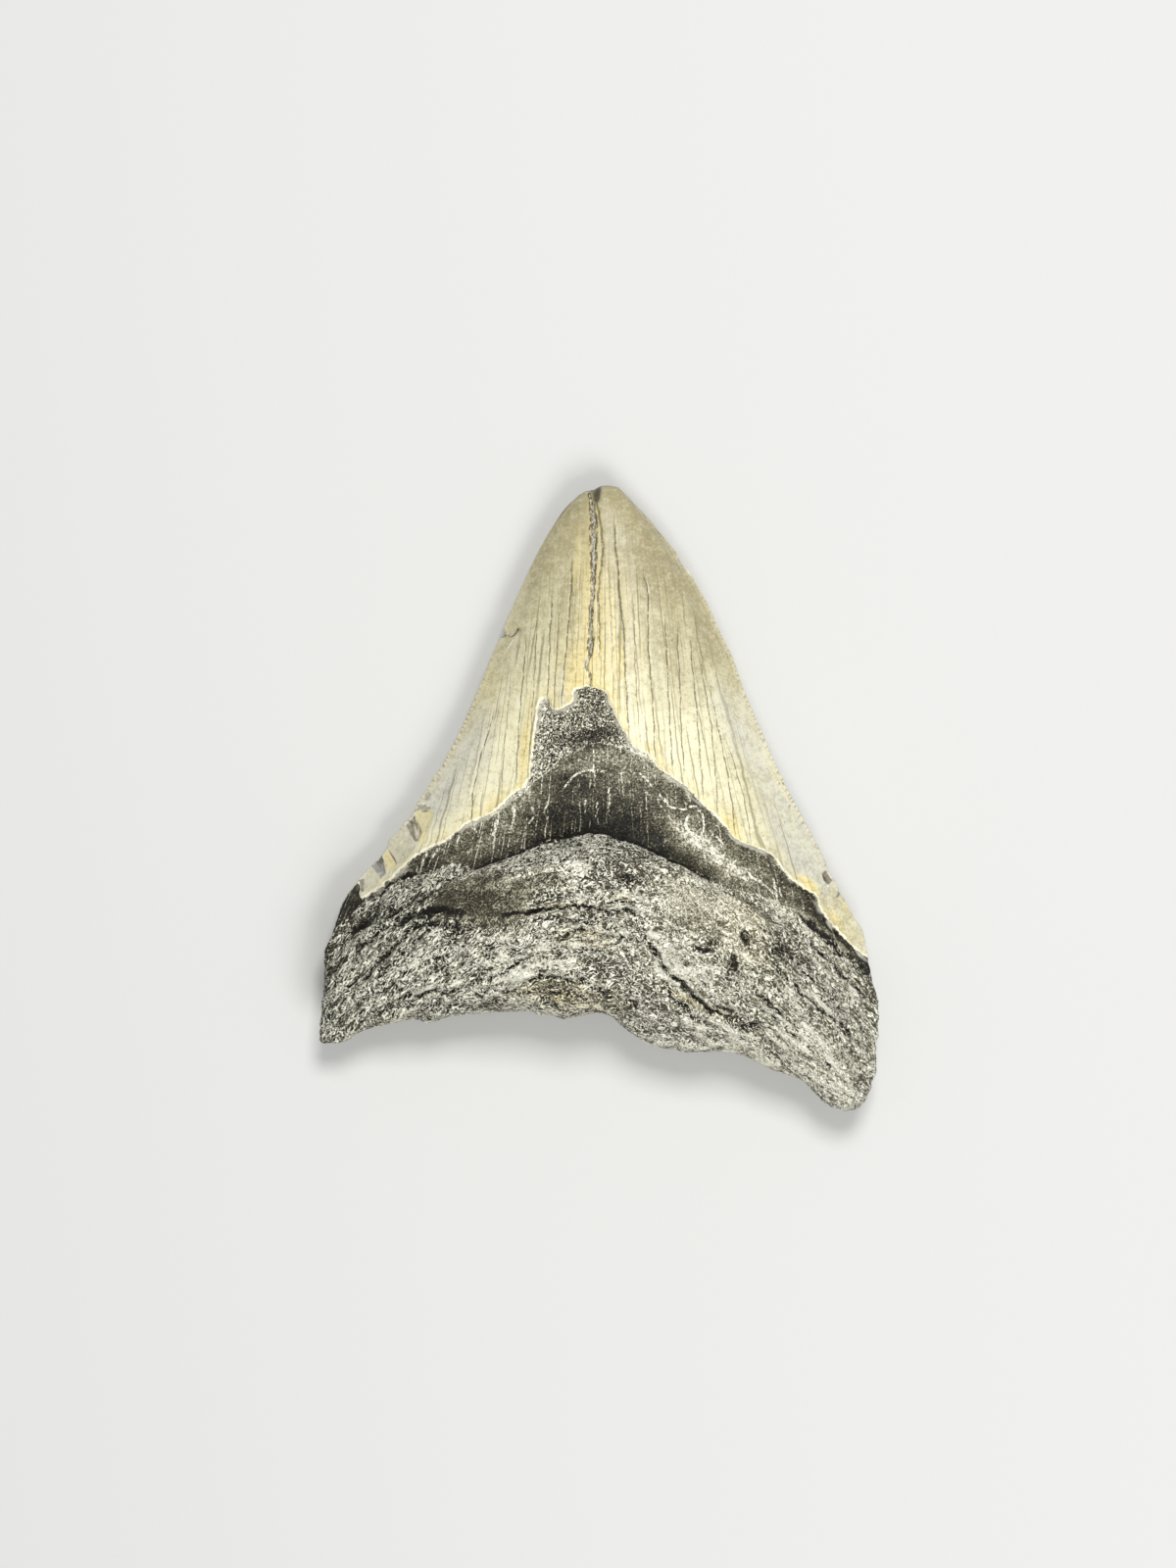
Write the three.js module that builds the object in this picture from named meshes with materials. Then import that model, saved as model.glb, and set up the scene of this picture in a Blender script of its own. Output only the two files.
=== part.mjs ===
// A megalodon tooth, lying on its labial face with the lingual face up.
// Lengths are in millimetres. +X runs across the tooth, +Y from the root to the tip, and +Z up from
// the surface that it lies on. The origin is under the middle of the tooth, on that surface.

import * as THREE from 'three';
import { ParametricGeometry } from 'three/addons/geometries/ParametricGeometry.js';
import { mergeGeometries, mergeVertices } from 'three/addons/utils/BufferGeometryUtils.js';

const { lerp, smoothstep, clamp } = THREE.MathUtils;

// Heights above the surface
const torusCrest = 20.6;
const lobeCrest = 14.0;
const crownBaseCrest = 16.2;
const crownTipCrest = 6.2;
const rootEdgeHeight = 7.4;
const cuttingEdgeHeight = 4.6;
const tipEdgeHeight = 4.0;
const tipLift = 1.6;

// The crown's ridge falls from its base to the tip, a little faster towards the tip
const crownBaseY = -2;
const tipY = 48;
const ridgeCurve = 1.15;

// The root's bulge, the torus, measured from its top line towards the root's lower edge
const torusStart = -0.5;
const torusFlank = 4;
const flankAtLobes = 5;
const torusPeak = 10;
const riseToPeak = 2.2;
const fallBelowPeak = 3.4;
const fallLength = 18;
const torusHalfWidth = 27;

// The dip of the crown's neck, just above the torus
const neckDip = 1.3;
const neckPlace = 0.6;
const neckWidth = 2.6;

// Shares of the way from the root's lower edge to the tip
const rootEdgeEnd = 0.16;
const cuttingEdgeStart = 0.3;
const lowerEdgeRounding = 0.085;
const tipRounding = 0.06;

// Shapes of a section across the tooth: the power of the distance from its middle, and of the whole
const rootPower = 4.5;
const rootFullness = 0.45;
const crownPower = 2.1;
const crownFullness = 1.0;
const labialPower = 3.5;
const labialFullness = 0.75;
const labialFlatness = 1.18;

// Steps of the mesh, and of the curves that it follows
const stepsAcross = 36;
const stepsAlong = 60;
const weldDistance = 0.001;
const arcLengthSteps = 400;
const torusTopSteps = 200;

// The outline in four runs, each as X and Y, seen from above

const leftSide = outlineCurve([
  [-42.9, -37.0], [-42.5, -32.0], [-42.1, -24.8], [-40.8, -20.5], [-38.7, -14.9], [-36.3, -11.5],
  [-33.0, -8.0], [-30.0, -3.8], [-27.9, -0.7], [-24.9, 3.8], [-22.3, 8.5], [-19.3, 14.9],
  [-16.3, 22.1], [-14.7, 25.6], [-13.3, 29.2], [-10.3, 35.8], [-7.0, 41.9], [-5.1, 44.6], [-3.1, 46.5],
]);

const rightSide = outlineCurve([
  [41.0, -45.8], [42.0, -42.8], [42.5, -39.0], [42.9, -33.1], [41.3, -24.8], [40.4, -20.2],
  [37.8, -15.7], [34.9, -10.0], [31.8, -3.8], [29.4, 0.7], [26.6, 6.7], [24.0, 12.7],
  [21.6, 18.7], [19.1, 24.7], [17.1, 29.2], [13.7, 35.1], [11.9, 37.5], [7.9, 42.7], [4.5, 46.3],
]);

const rootArch = outlineCurve([
  [-42.9, -37.0], [-40.6, -37.6], [-37.9, -36.9], [-34.4, -35.2], [-28.9, -33.9], [-25.9, -34.4],
  [-22.9, -33.4], [-16.6, -32.8], [-10.5, -32.6], [-5.8, -33.8], [-1.6, -33.1], [2.1, -33.7],
  [5.8, -36.5], [8.5, -37.8], [13.3, -38.9], [20.1, -38.9], [25.3, -40.9], [31.0, -43.3],
  [34.0, -46.3], [35.9, -47.4], [38.2, -48.1], [41.0, -45.8],
]);

const tipEdge = outlineCurve([
  [-3.1, 46.5], [-0.8, 47.4], [0.6, 48.1], [2.9, 47.8], [4.5, 46.3],
]);

// The top of the torus, where the root steps up from the crown's neck
const torusTop = outlineCurve([
  [-48.0, -27.0], [-40.6, -21.8], [-34.6, -15.8], [-27.1, -11.8], [-21.1, -10.3], [-15.9, -8.3],
  [-7.6, -6.5], [-0.9, -5.3], [5.8, -6.1], [11.8, -8.0], [16.3, -10.6], [23.8, -14.8],
  [28.3, -18.8], [34.4, -24.1], [42.6, -33.8], [48.0, -40.0],
]);

function outlineCurve(points) {
  const corners = points.map(([x, y]) => new THREE.Vector3(x, y, 0));
  const curve = new THREE.CatmullRomCurve3(corners, false, 'centripetal');
  curve.arcLengthDivisions = arcLengthSteps;
  return curve;
}

// How far a point is from the torus top towards the root's lower edge, along Y
const torusTopPoints = torusTop.getPoints(torusTopSteps);
function belowTorusTop(x, y) {
  const next = torusTopPoints.findIndex((point) => point.x >= x);
  const from = torusTopPoints[next - 1];
  const to = torusTopPoints[next];
  return lerp(from.y, to.y, (x - from.x) / (to.x - from.x)) - y;
}

// A point inside the outline. Across runs from the left side to the right, along from root to tip.
function pointInOutline(across, along) {
  const left = leftSide.getPointAt(along);
  const right = rightSide.getPointAt(along);
  const lower = rootArch.getPointAt(across);
  const upper = tipEdge.getPointAt(across);
  const fromSides = left.lerp(right, across);
  const fromEnds = lower.lerp(upper, along);
  const lowerCorners = rootArch.getPointAt(0).lerp(rootArch.getPointAt(1), across);
  const upperCorners = tipEdge.getPointAt(0).lerp(tipEdge.getPointAt(1), across);
  const fromCorners = lowerCorners.lerp(upperCorners, along);
  return fromSides.add(fromEnds).sub(fromCorners);
}

// Height of the thin edge all round, where the lingual and labial faces meet
function edgeHeight(along) {
  const rootToCrown = smoothstep(along, rootEdgeEnd, cuttingEdgeStart);
  const crownEdge = lerp(cuttingEdgeHeight, tipEdgeHeight, along);
  return lerp(rootEdgeHeight, crownEdge, rootToCrown);
}

// How full a section is: 0 on the outline and 1 in the middle of the tooth
function fullness(across, along, power, roundness) {
  const fromMiddle = Math.abs(2 * across - 1);
  const sides = (1 - fromMiddle ** power) ** roundness;
  const fromLowerEdge = clamp(along / lowerEdgeRounding, 0, 1);
  const lowerEdge = Math.sqrt(1 - (1 - fromLowerEdge) ** 2);
  const fromTip = clamp((1 - along) / tipRounding, 0, 1);
  const tip = Math.sqrt(1 - (1 - fromTip) ** 2);
  return sides * lowerEdge * tip;
}

// 1 in the middle of the tooth and falling to 0 over the root's lobes
function nearMiddle(x) {
  return Math.exp(-((x / torusHalfWidth) ** 2));
}

function crownCrest(x, y, below) {
  const towardsTip = clamp((y - crownBaseY) / (tipY - crownBaseY), 0, 1);
  const neck = Math.exp(-(((below + neckPlace) / neckWidth) ** 2));
  return lerp(crownBaseCrest, crownTipCrest, towardsTip ** ridgeCurve) - neckDip * neck * nearMiddle(x);
}

function rootCrest(x, below) {
  const beforePeak = clamp(1 - below / torusPeak, 0, 1);
  const pastPeak = Math.max(0, (below - torusPeak) / fallLength);
  const middle = torusCrest - riseToPeak * beforePeak ** 2 - fallBelowPeak * pastPeak ** 2;
  return lerp(lobeCrest, middle, nearMiddle(x));
}

// The lingual face is the convex one that shows from above.
function lingualPoint(across, along, target) {
  const { x, y } = pointInOutline(across, along);
  const below = belowTorusTop(x, y);
  const flank = torusFlank + flankAtLobes * (1 - nearMiddle(x));
  const inRoot = smoothstep(below, torusStart, torusStart + flank);
  const full = fullness(
    across,
    along,
    lerp(crownPower, rootPower, inRoot),
    lerp(crownFullness, rootFullness, inRoot),
  );
  const crest = lerp(crownCrest(x, y, below), rootCrest(x, below), inRoot);
  target.set(x, y, lerp(edgeHeight(along), crest, full));
}

// The labial face is nearly flat. The tooth rests on the middle of it, and its tip is clear of the surface.
function labialPoint(across, along, target) {
  const { x, y } = pointInOutline(across, along);
  const edge = edgeHeight(along);
  const full = Math.min(1, labialFlatness * fullness(across, along, labialPower, labialFullness));
  const lift = tipLift * smoothstep(y, 0, tipY);
  target.set(x, y, lerp(edge, lift, full));
}

// Both faces have the same points along the outline, where they are welded into one closed skin.
function toothGeometry() {
  const lingual = new ParametricGeometry(lingualPoint, stepsAcross, stepsAlong);
  const labialFromBelow = (across, along, target) => labialPoint(1 - across, along, target);
  const labial = new ParametricGeometry(labialFromBelow, stepsAcross, stepsAlong);
  const skin = mergeGeometries([lingual, labial]);
  skin.deleteAttribute('normal');
  skin.deleteAttribute('uv');
  const welded = mergeVertices(skin, weldDistance);
  welded.computeVertexNormals();
  return welded;
}

const mineralisedTooth = new THREE.MeshStandardMaterial({
  color: 0x8f8872,
  roughness: 0.55,
  metalness: 0,
});

const megalodonTooth = new THREE.Group();
const tooth = new THREE.Mesh(toothGeometry(), mineralisedTooth);
tooth.name = 'tooth';
megalodonTooth.add(tooth);

export default megalodonTooth;
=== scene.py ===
# A megalodon tooth that lies on its labial face, seen from straight above.
# Lengths are in millimetres unless a name says metres. Blender's own units are metres.
import math

import bmesh
import bpy
import numpy as np
from mathutils import Matrix, Vector, noise


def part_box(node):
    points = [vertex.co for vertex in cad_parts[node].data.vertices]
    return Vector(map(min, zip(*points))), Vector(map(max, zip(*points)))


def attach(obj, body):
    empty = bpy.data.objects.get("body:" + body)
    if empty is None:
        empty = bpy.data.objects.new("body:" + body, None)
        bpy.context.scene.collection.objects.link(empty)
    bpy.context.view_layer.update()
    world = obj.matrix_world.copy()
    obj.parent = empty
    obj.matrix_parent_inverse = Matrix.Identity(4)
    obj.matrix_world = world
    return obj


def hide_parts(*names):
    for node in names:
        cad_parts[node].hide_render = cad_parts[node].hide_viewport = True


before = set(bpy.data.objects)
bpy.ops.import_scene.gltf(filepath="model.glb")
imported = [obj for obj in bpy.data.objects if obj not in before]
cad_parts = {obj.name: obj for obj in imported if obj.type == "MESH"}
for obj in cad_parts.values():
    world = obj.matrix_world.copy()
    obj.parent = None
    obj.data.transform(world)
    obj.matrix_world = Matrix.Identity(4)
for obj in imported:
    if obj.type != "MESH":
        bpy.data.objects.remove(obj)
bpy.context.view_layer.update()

MM = 0.001

# Heights above the surface, as in the solid
TORUS_CREST = 20.6
LOBE_CREST = 14.0
CROWN_BASE_CREST = 16.2
CROWN_TIP_CREST = 6.2
ROOT_EDGE = 7.4
CUTTING_EDGE = 4.6
TIP_EDGE_HEIGHT = 4.0
TIP_LIFT = 1.6

# The crown's ridge falls from its base to the tip
CROWN_BASE_Y = -2
TIP_Y = 48
RIDGE_CURVE = 1.15

# The root's bulge, the torus, measured from its top line towards the root's lower edge
TORUS_START = -0.5
TORUS_FLANK = 4
FLANK_AT_LOBES = 5
TORUS_PEAK = 10
RISE_TO_PEAK = 2.2
FALL_BELOW_PEAK = 3.4
FALL_LENGTH = 18
TORUS_HALF_WIDTH = 27

# The dip of the crown's neck, just above the torus
NECK_DIP = 1.3
NECK_PLACE = 0.6
NECK_WIDTH = 2.6

# Shares of the way from the root's lower edge to the tip
ROOT_EDGE_END = 0.16
CUTTING_EDGE_START = 0.3
LOWER_EDGE_ROUNDING = 0.085
TIP_ROUNDING = 0.06

# Shapes of a section across the tooth: the power of the distance from its middle, and of the whole
CROWN_POWER = 2.1
CROWN_FULLNESS = 1.0
ROOT_POWER = 4.5
ROOT_FULLNESS = 0.45
LABIAL_POWER = 3.5
LABIAL_FULLNESS = 0.75
LABIAL_FLATNESS = 1.18

# The labial face rises to both sides on the crown, and is hollow between the lobes
LABIAL_SIDE_RISE = 1.1
SIDE_RISE_START_Y = -14
SIDE_RISE_FULL_Y = 0
HOLLOW_HEIGHT = 1.5
HOLLOW_Y = -24
HOLLOW_HALF_WIDTH = 17
HOLLOW_HALF_LENGTH = 8

# Steps of the two sheets that make the skin
STEPS_ACROSS = 280
LABIAL_STEPS_ACROSS = 70
STEPS_ALONG = 240
ROW_CROWDING = 1.3
SERRATION_START = 0.27
SERRATED_COLUMNS = 5
SERRATION_CUTS = 3
WELD_DISTANCE = 0.0005

# The relief is fainter at the outline, and has its full height past this reach
TOOTH_LENGTH = 96
EDGE_RELIEF = 0.3
EDGE_RELIEF_REACH = 2.2

# Heights and depths of the enamel's relief
ENAMEL_STEP = 0.42
ENAMEL_LIP = 0.08
PATCH_STEP = 0.14
PATCH_GRAIN = 0.12
CRACK_DEPTH = 0.07
BRANCH_DEPTH = 0.15
FILLER_DEPTH = 0.16
FILLER_GRAIN = 0.10
RIPPLES = 0.03
SWELLS = 0.10
MARK_DEPTH = 0.15

# Heights and depths of the root's relief
ROOT_SINK = 0.3
ROOT_LUMPS = 0.65
ROOT_FIBRES = 0.55
ROOT_KNOBS = 0.26
ROOT_GRAIN = 0.12
FURROW_DEPTH = 0.5
FURROW_WIDTH = 0.09
GROOVE_DEPTH = 0.55
GROOVE_WIDTH = 0.4
LABIAL_STEP = 0.45
LABIAL_LUMPS = 0.28
LABIAL_GRAIN = 0.12
LABIAL_RIPPLES = 0.05
LABIAL_PITS = 14
LABIAL_PIT_DEPTH = 0.8

# How ragged the boundaries of the enamel and the band are
FRAY = 0.22
LABIAL_FRAY = 0.25

# The enamel's streaks and cracks fan out from the tip, and the root's fibres bend as its torus does
FAN_Y = 40.0
FAN_SPREAD = 0.0105
FIBRE_BEND = 0.012
FIBRE_LEAN = 0.09

# The cutting edges lean, so the distance square to one is this share of the distance straight across
EDGE_LEAN = 0.9

# A ring past the tooth's sides and tip, which closes a line that crosses the tooth
RING_MARGIN = 20
RING_TOP_Y = 90

# How far the pattern moves from one seed of the noise to the next
SEED_STEP = 31.7
SEED_RISE = 0.37

# What the finish reads at each vertex, with its value where a face has none of it. FAR is a distance
# in millimetres, and FAR_FROM_CREASE one in a crease's half widths.
FAR = 9.0
FAR_FROM_CREASE = 6.0
FACTS = {
    "enamel": 0.0, "patch": -FAR, "band": -FAR, "crack": FAR, "crack_strength": 0.0, "seam": FAR,
    "seam_width": 0.0, "branch": FAR, "branch_strength": 0.0, "crease": FAR_FROM_CREASE,
    "crease_strength": 0.0, "groove": FAR, "groove_strength": 0.0, "pit": 0.0, "pale": 0.0,
    "ochre": 0.0, "hollow": 0.0, "quiet": 0.0, "chip": 0.0, "edge": 0.0, "mark": 0.0, "vein": 0.0,
    "notch": 0.0, "serrated": 0.0,
}

# The outline in four runs, each as X and Y
LEFT_SIDE = [
    (-42.9, -37.0), (-42.6, -33.8), (-42.3, -30.5), (-42.1, -27.1), (-42.1, -24.8), (-41.9, -23.0),
    (-40.8, -20.5), (-39.8, -17.3), (-38.7, -14.9), (-37.7, -13.6), (-36.8, -12.5), (-36.1, -11.6),
    (-34.5, -10.0), (-33.1, -8.5), (-32.5, -7.5), (-32.2, -6.4), (-30.9, -5.1), (-29.9, -3.8),
    (-28.6, -2.4), (-27.9, -0.7), (-26.6, 1.2), (-25.1, 3.7), (-24.0, 5.1), (-23.5, 6.3),
    (-22.3, 8.5), (-20.8, 11.5), (-19.3, 14.9), (-17.7, 18.7), (-16.3, 22.1), (-15.4, 24.1),
    (-15.0, 24.6), (-14.4, 25.1), (-14.6, 26.0), (-14.2, 27.2), (-13.3, 29.2), (-11.8, 32.5),
    (-10.3, 35.8), (-8.8, 38.8), (-7.0, 41.9), (-5.1, 44.6), (-3.1, 46.5),
]
RIGHT_SIDE = [
    (41.0, -45.8), (41.7, -44.0), (42.3, -41.8), (42.5, -39.1), (42.8, -36.1), (42.9, -33.1),
    (42.8, -30.8), (42.0, -27.8), (41.3, -24.8), (40.7, -21.5), (40.4, -20.2), (39.3, -18.5),
    (37.8, -15.7), (36.9, -14.2), (36.7, -13.6), (35.8, -12.0), (35.1, -10.9), (34.9, -10.0),
    (33.4, -6.8), (31.8, -3.8), (30.7, -1.7), (29.4, 0.7), (28.7, 1.9), (28.4, 2.9), (27.9, 3.7),
    (26.6, 6.7), (25.3, 9.7), (24.0, 12.7), (22.7, 15.7), (21.6, 18.7), (20.6, 21.7), (19.1, 24.7),
    (18.1, 26.9), (17.1, 29.2), (15.4, 32.2), (13.7, 35.1), (12.7, 36.0), (12.1, 37.5),
    (10.8, 39.1), (9.6, 40.6), (9.2, 41.0), (7.9, 42.7), (5.9, 44.8), (4.5, 46.3),
]
ROOT_ARCH = [
    (-42.9, -37.0), (-42.3, -37.5), (-40.6, -37.6), (-39.1, -37.4), (-37.9, -36.9), (-36.4, -35.9),
    (-34.4, -35.2), (-31.6, -34.5), (-28.9, -33.9), (-27.6, -34.0), (-25.9, -34.4), (-24.4, -34.0),
    (-22.9, -33.4), (-20.4, -33.0), (-16.6, -32.8), (-12.9, -32.6), (-10.5, -32.6), (-9.0, -33.2),
    (-7.5, -33.1), (-5.8, -33.8), (-3.9, -33.6), (-1.6, -33.1), (0.4, -33.1), (2.1, -33.7),
    (3.6, -34.9), (5.8, -36.5), (8.5, -37.8), (11.5, -38.4), (13.3, -38.9), (16.3, -38.8),
    (20.1, -38.9), (22.3, -39.5), (25.3, -40.9), (28.3, -42.2), (31.0, -43.3), (32.2, -44.5),
    (34.0, -46.3), (35.9, -47.4), (38.2, -47.9), (39.8, -47.3), (41.0, -45.8),
]
TIP_EDGE = [
    (-3.1, 46.5), (-1.9, 47.2), (-0.8, 47.4), (0.3, 48.0), (2.9, 47.8), (3.6, 47.2), (4.5, 46.3),
]

# The top of the torus, where the root steps up from the crown's neck
TORUS_TOP = [
    (-48.0, -27.0), (-40.6, -21.8), (-34.6, -15.8), (-27.1, -11.8), (-21.1, -10.3), (-15.9, -8.3),
    (-7.6, -6.5), (-0.9, -5.3), (5.8, -6.1), (11.8, -8.0), (16.3, -10.6), (23.8, -14.8),
    (28.3, -18.8), (34.4, -24.1), (42.6, -33.8), (48.0, -40.0),
]

# The enamel's ragged lower boundary on the lingual face, from the left cutting edge to the right one
ENAMEL_LINE = [
    (-46.0, -10.5), (-38.6, -11.9), (-37.1, -12.6), (-36.6, -13.6), (-36.7, -14.7), (-36.2, -15.3),
    (-34.4, -14.2), (-31.3, -11.9), (-29.5, -10.1), (-26.7, -8.0), (-22.8, -6.1), (-20.7, -4.3),
    (-16.6, -2.3), (-14.5, -0.7), (-13.0, 0.8), (-10.7, 2.5), (-10.3, 5.2), (-9.9, 8.6), (-9.4, 12.1),
    (-9.0, 14.8), (-7.8, 15.2), (-7.5, 13.9), (-6.6, 13.4), (-5.4, 13.7), (-3.9, 14.8), (-3.6, 16.4),
    (-1.2, 16.9), (0.9, 16.1), (1.5, 14.6), (2.5, 12.4), (3.6, 10.3), (4.5, 8.9), (5.5, 7.6),
    (7.2, 6.8), (8.7, 4.9), (11.1, 3.1), (13.2, 1.7), (14.7, 0.1), (16.6, -1.7), (19.2, -4.4),
    (21.3, -6.5), (23.8, -7.4), (26.1, -8.5), (27.8, -10.6), (29.2, -12.1), (31.3, -13.6),
    (32.9, -14.6), (33.9, -16.9), (35.5, -19.0), (37.6, -21.4), (39.8, -23.5), (40.9, -24.2),
    (46.0, -26.5),
]

# On the labial face the enamel reaches further down, along a plain low arch
LABIAL_ENAMEL_LINE = [
    (-46.0, -20.5), (-36.4, -15.4), (-30.0, -12.2), (-22.0, -9.4), (-12.0, -7.6), (-3.0, -7.0),
    (6.0, -7.9), (15.0, -10.6), (25.0, -15.0), (33.0, -19.6), (41.0, -24.4), (46.0, -27.0),
]

# The light wavy line under the patch that has lost its enamel
PATCH_LINE = [
    (-16.5, -2.6), (-12.0, 0.6), (-9.6, 2.9), (-7.9, 4.1), (-6.1, 5.8), (-3.8, 7.0), (-0.9, 8.4),
    (2.0, 8.1), (4.4, 7.3), (6.7, 6.7), (9.5, 7.4),
]

# The lower boundary of the smooth dark band, the bourlette
BAND_LINE = [
    (-46.0, -25.0), (-40.6, -20.3), (-35.9, -15.5), (-34.2, -14.5), (-31.6, -12.7), (-28.7, -11.5),
    (-25.3, -10.6), (-21.3, -9.8), (-18.8, -10.3), (-14.2, -8.5), (-9.0, -6.4), (-3.6, -5.3),
    (0.8, -5.0), (6.9, -6.7), (12.8, -9.6), (17.6, -12.2), (21.1, -13.6), (24.4, -14.6),
    (27.6, -16.0), (30.0, -17.5), (32.1, -18.8), (34.4, -20.5), (36.3, -21.5), (39.6, -25.0),
    (41.1, -26.5), (46.0, -29.5),
]

# The deep dark groove between the band and the torus, and its fainter ends. Its darkness is painted
# shade in the groove.
NECK_GROOVE = [
    (-20.1, -10.7), (-18.8, -10.3), (-16.9, -9.4), (-14.2, -8.5), (-11.5, -7.4), (-9.0, -6.4),
    (-6.3, -5.8), (-3.6, -5.3), (-1.5, -4.9), (0.8, -5.0), (3.4, -5.6), (6.9, -6.7), (9.8, -8.1),
    (12.8, -9.6), (16.2, -11.6), (18.0, -12.5),
]

# Creases of the root: their points, half width, depth and darkness, which is painted shade in the
# crease
CREASES = [
    ([(-36.2, -15.6), (-34.0, -14.5), (-31.6, -12.9), (-28.8, -11.6),
      (-26.0, -10.9)], 0.3, 0.4, 0.7),
    ([(-15.0, -17.9), (-10.7, -16.8), (-6.9, -16.4), (-4.3, -16.0), (-2.2, -15.9), (-0.5, -16.4),
      (1.1, -16.9), (2.4, -17.2)], 0.36, 0.9, 1.1),
    ([(2.8, -16.6), (4.1, -16.6), (5.8, -17.2)], 0.3, 0.5, 1.0),
    ([(1.6, -15.8), (2.0, -15.3), (2.7, -15.1), (3.9, -15.7)], 0.24, 0.4, 0.9),
    ([(5.9, -18.2), (7.4, -18.5)], 0.35, 0.4, 0.8),
    ([(6.1, -18.9), (6.6, -20.4), (7.7, -22.0), (9.5, -25.0), (12.0, -27.6), (14.0, -29.6),
      (16.3, -31.6), (18.6, -32.9), (21.1, -34.1), (23.1, -35.1)], 0.42, 1.0, 1.4),
    ([(17.3, -31.1), (19.7, -31.8), (20.9, -33.0), (22.5, -34.7)], 0.3, 0.6, 0.9),
    ([(9.4, -28.0), (11.2, -30.2), (14.4, -33.0), (18.0, -35.0)], 0.3, 0.5, 0.7),
    ([(20.0, -24.6), (22.0, -27.6), (25.4, -30.6), (28.5, -33.6), (33.0, -37.0)], 0.3, 0.6, 0.8),
    ([(26.3, -24.6), (29.6, -28.2), (32.7, -31.0), (35.4, -33.4), (38.3, -36.0),
      (40.8, -38.4)], 0.32, 0.8, 1.0),
    ([(28.5, -22.8), (31.5, -26.5), (35.0, -30.0), (38.5, -32.8)], 0.3, 0.5, 0.8),
    ([(31.5, -20.5), (34.8, -23.6), (38.2, -27.5), (41.0, -31.0)], 0.32, 0.6, 0.9),
    ([(30.5, -17.5), (34.4, -20.5), (37.7, -23.6), (41.1, -26.9)], 0.35, 0.6, 1.0),
    ([(24.5, -31.6), (28.2, -34.8), (33.0, -38.5), (36.0, -41.5)], 0.3, 0.5, 0.75),
    ([(-28.6, -20.6), (-29.6, -21.3), (-33.3, -24.7), (-36.2, -27.2),
      (-39.3, -29.3)], 0.4, 0.9, 1.1),
    ([(-24.0, -19.5), (-28.2, -21.9), (-31.0, -24.8)], 0.3, 0.4, 0.6),
    ([(-9.4, -23.4), (-10.9, -23.9), (-13.5, -25.6), (-16.1, -26.9), (-19.5, -28.2), (-22.9, -29.7),
      (-25.1, -29.0), (-27.3, -30.1), (-32.0, -30.9)], 0.34, 0.7, 1.1),
    ([(-15.6, -24.2), (-18.6, -23.2)], 0.32, 0.45, 0.95),
    ([(-20.6, -22.3), (-22.9, -23.6), (-26.4, -24.8), (-31.5, -28.2)], 0.34, 0.5, 0.85),
    ([(-20.8, -17.2), (-24.5, -16.6), (-28.6, -17.6), (-33.5, -20.2),
      (-37.5, -23.2)], 0.5, 0.6, 0.75),
    ([(-21.5, -19.4), (-25.5, -19.0), (-29.0, -19.6)], 0.5, 0.5, 0.7),
    ([(-33.8, -17.0), (-37.0, -19.4), (-40.0, -22.6)], 0.4, 0.5, 0.7),
    ([(-33.0, -28.0), (-36.5, -31.0), (-40.0, -33.6)], 0.35, 0.4, 0.6),
    ([(19.0, -22.8), (20.6, -24.8), (20.9, -26.8)], 0.32, 0.4, 0.7),
    ([(14.0, -22.0), (15.6, -22.6), (17.0, -22.9)], 0.4, 0.4, 0.7),
    ([(2.0, -19.3), (3.0, -20.2), (3.7, -21.0), (3.0, -21.4), (2.0, -21.9), (-0.3, -22.4),
      (-2.4, -23.0)], 0.26, 0.5, 1.0),
    ([(1.9, -19.6), (0.4, -19.5), (-1.0, -20.2), (-1.6, -21.1), (-0.6, -21.9),
      (1.0, -21.8)], 0.2, 0.3, 0.7),
    ([(-6.2, -21.5), (-5.0, -20.5), (-3.7, -19.8), (-1.5, -19.6)], 0.28, 0.4, 0.8),
    ([(-5.6, -18.9), (-3.8, -18.2), (-1.6, -18.6)], 0.25, 0.35, 0.6),
    ([(-12.0, -28.0), (-7.0, -27.0), (-2.0, -27.8), (2.5, -29.8), (6.0, -31.8)], 0.4, 0.5, 0.7),
    ([(-8.5, -30.4), (-3.5, -29.6), (0.5, -31.0)], 0.35, 0.4, 0.6),
]

# Pits of the root: X, Y, half width, half length and depth, which also sets how dark the pit's painted
# shade is
PITS = [
    (22.1, -20.7, 0.55, 1.1, 1.0), (23.1, -34.8, 0.8, 0.8, 0.9), (20.0, -25.5, 0.7, 1.0, 0.5),
    (27.4, -22.6, 1.6, 1.0, 0.5), (-21.5, -19.6, 1.5, 0.9, 0.45), (-26.5, -17.6, 1.6, 0.8, 0.4),
    (17.2, -21.7, 1.0, 0.6, 0.4), (-15.4, -30.5, 0.9, 0.5, 0.4), (4.6, -12.2, 1.4, 0.9, 0.45),
    (-31.4, -17.4, 1.3, 0.7, 0.4), (-1.6, -20.9, 1.0, 0.6, 0.35), (33.0, -27.4, 0.9, 0.7, 0.3),
]
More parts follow.
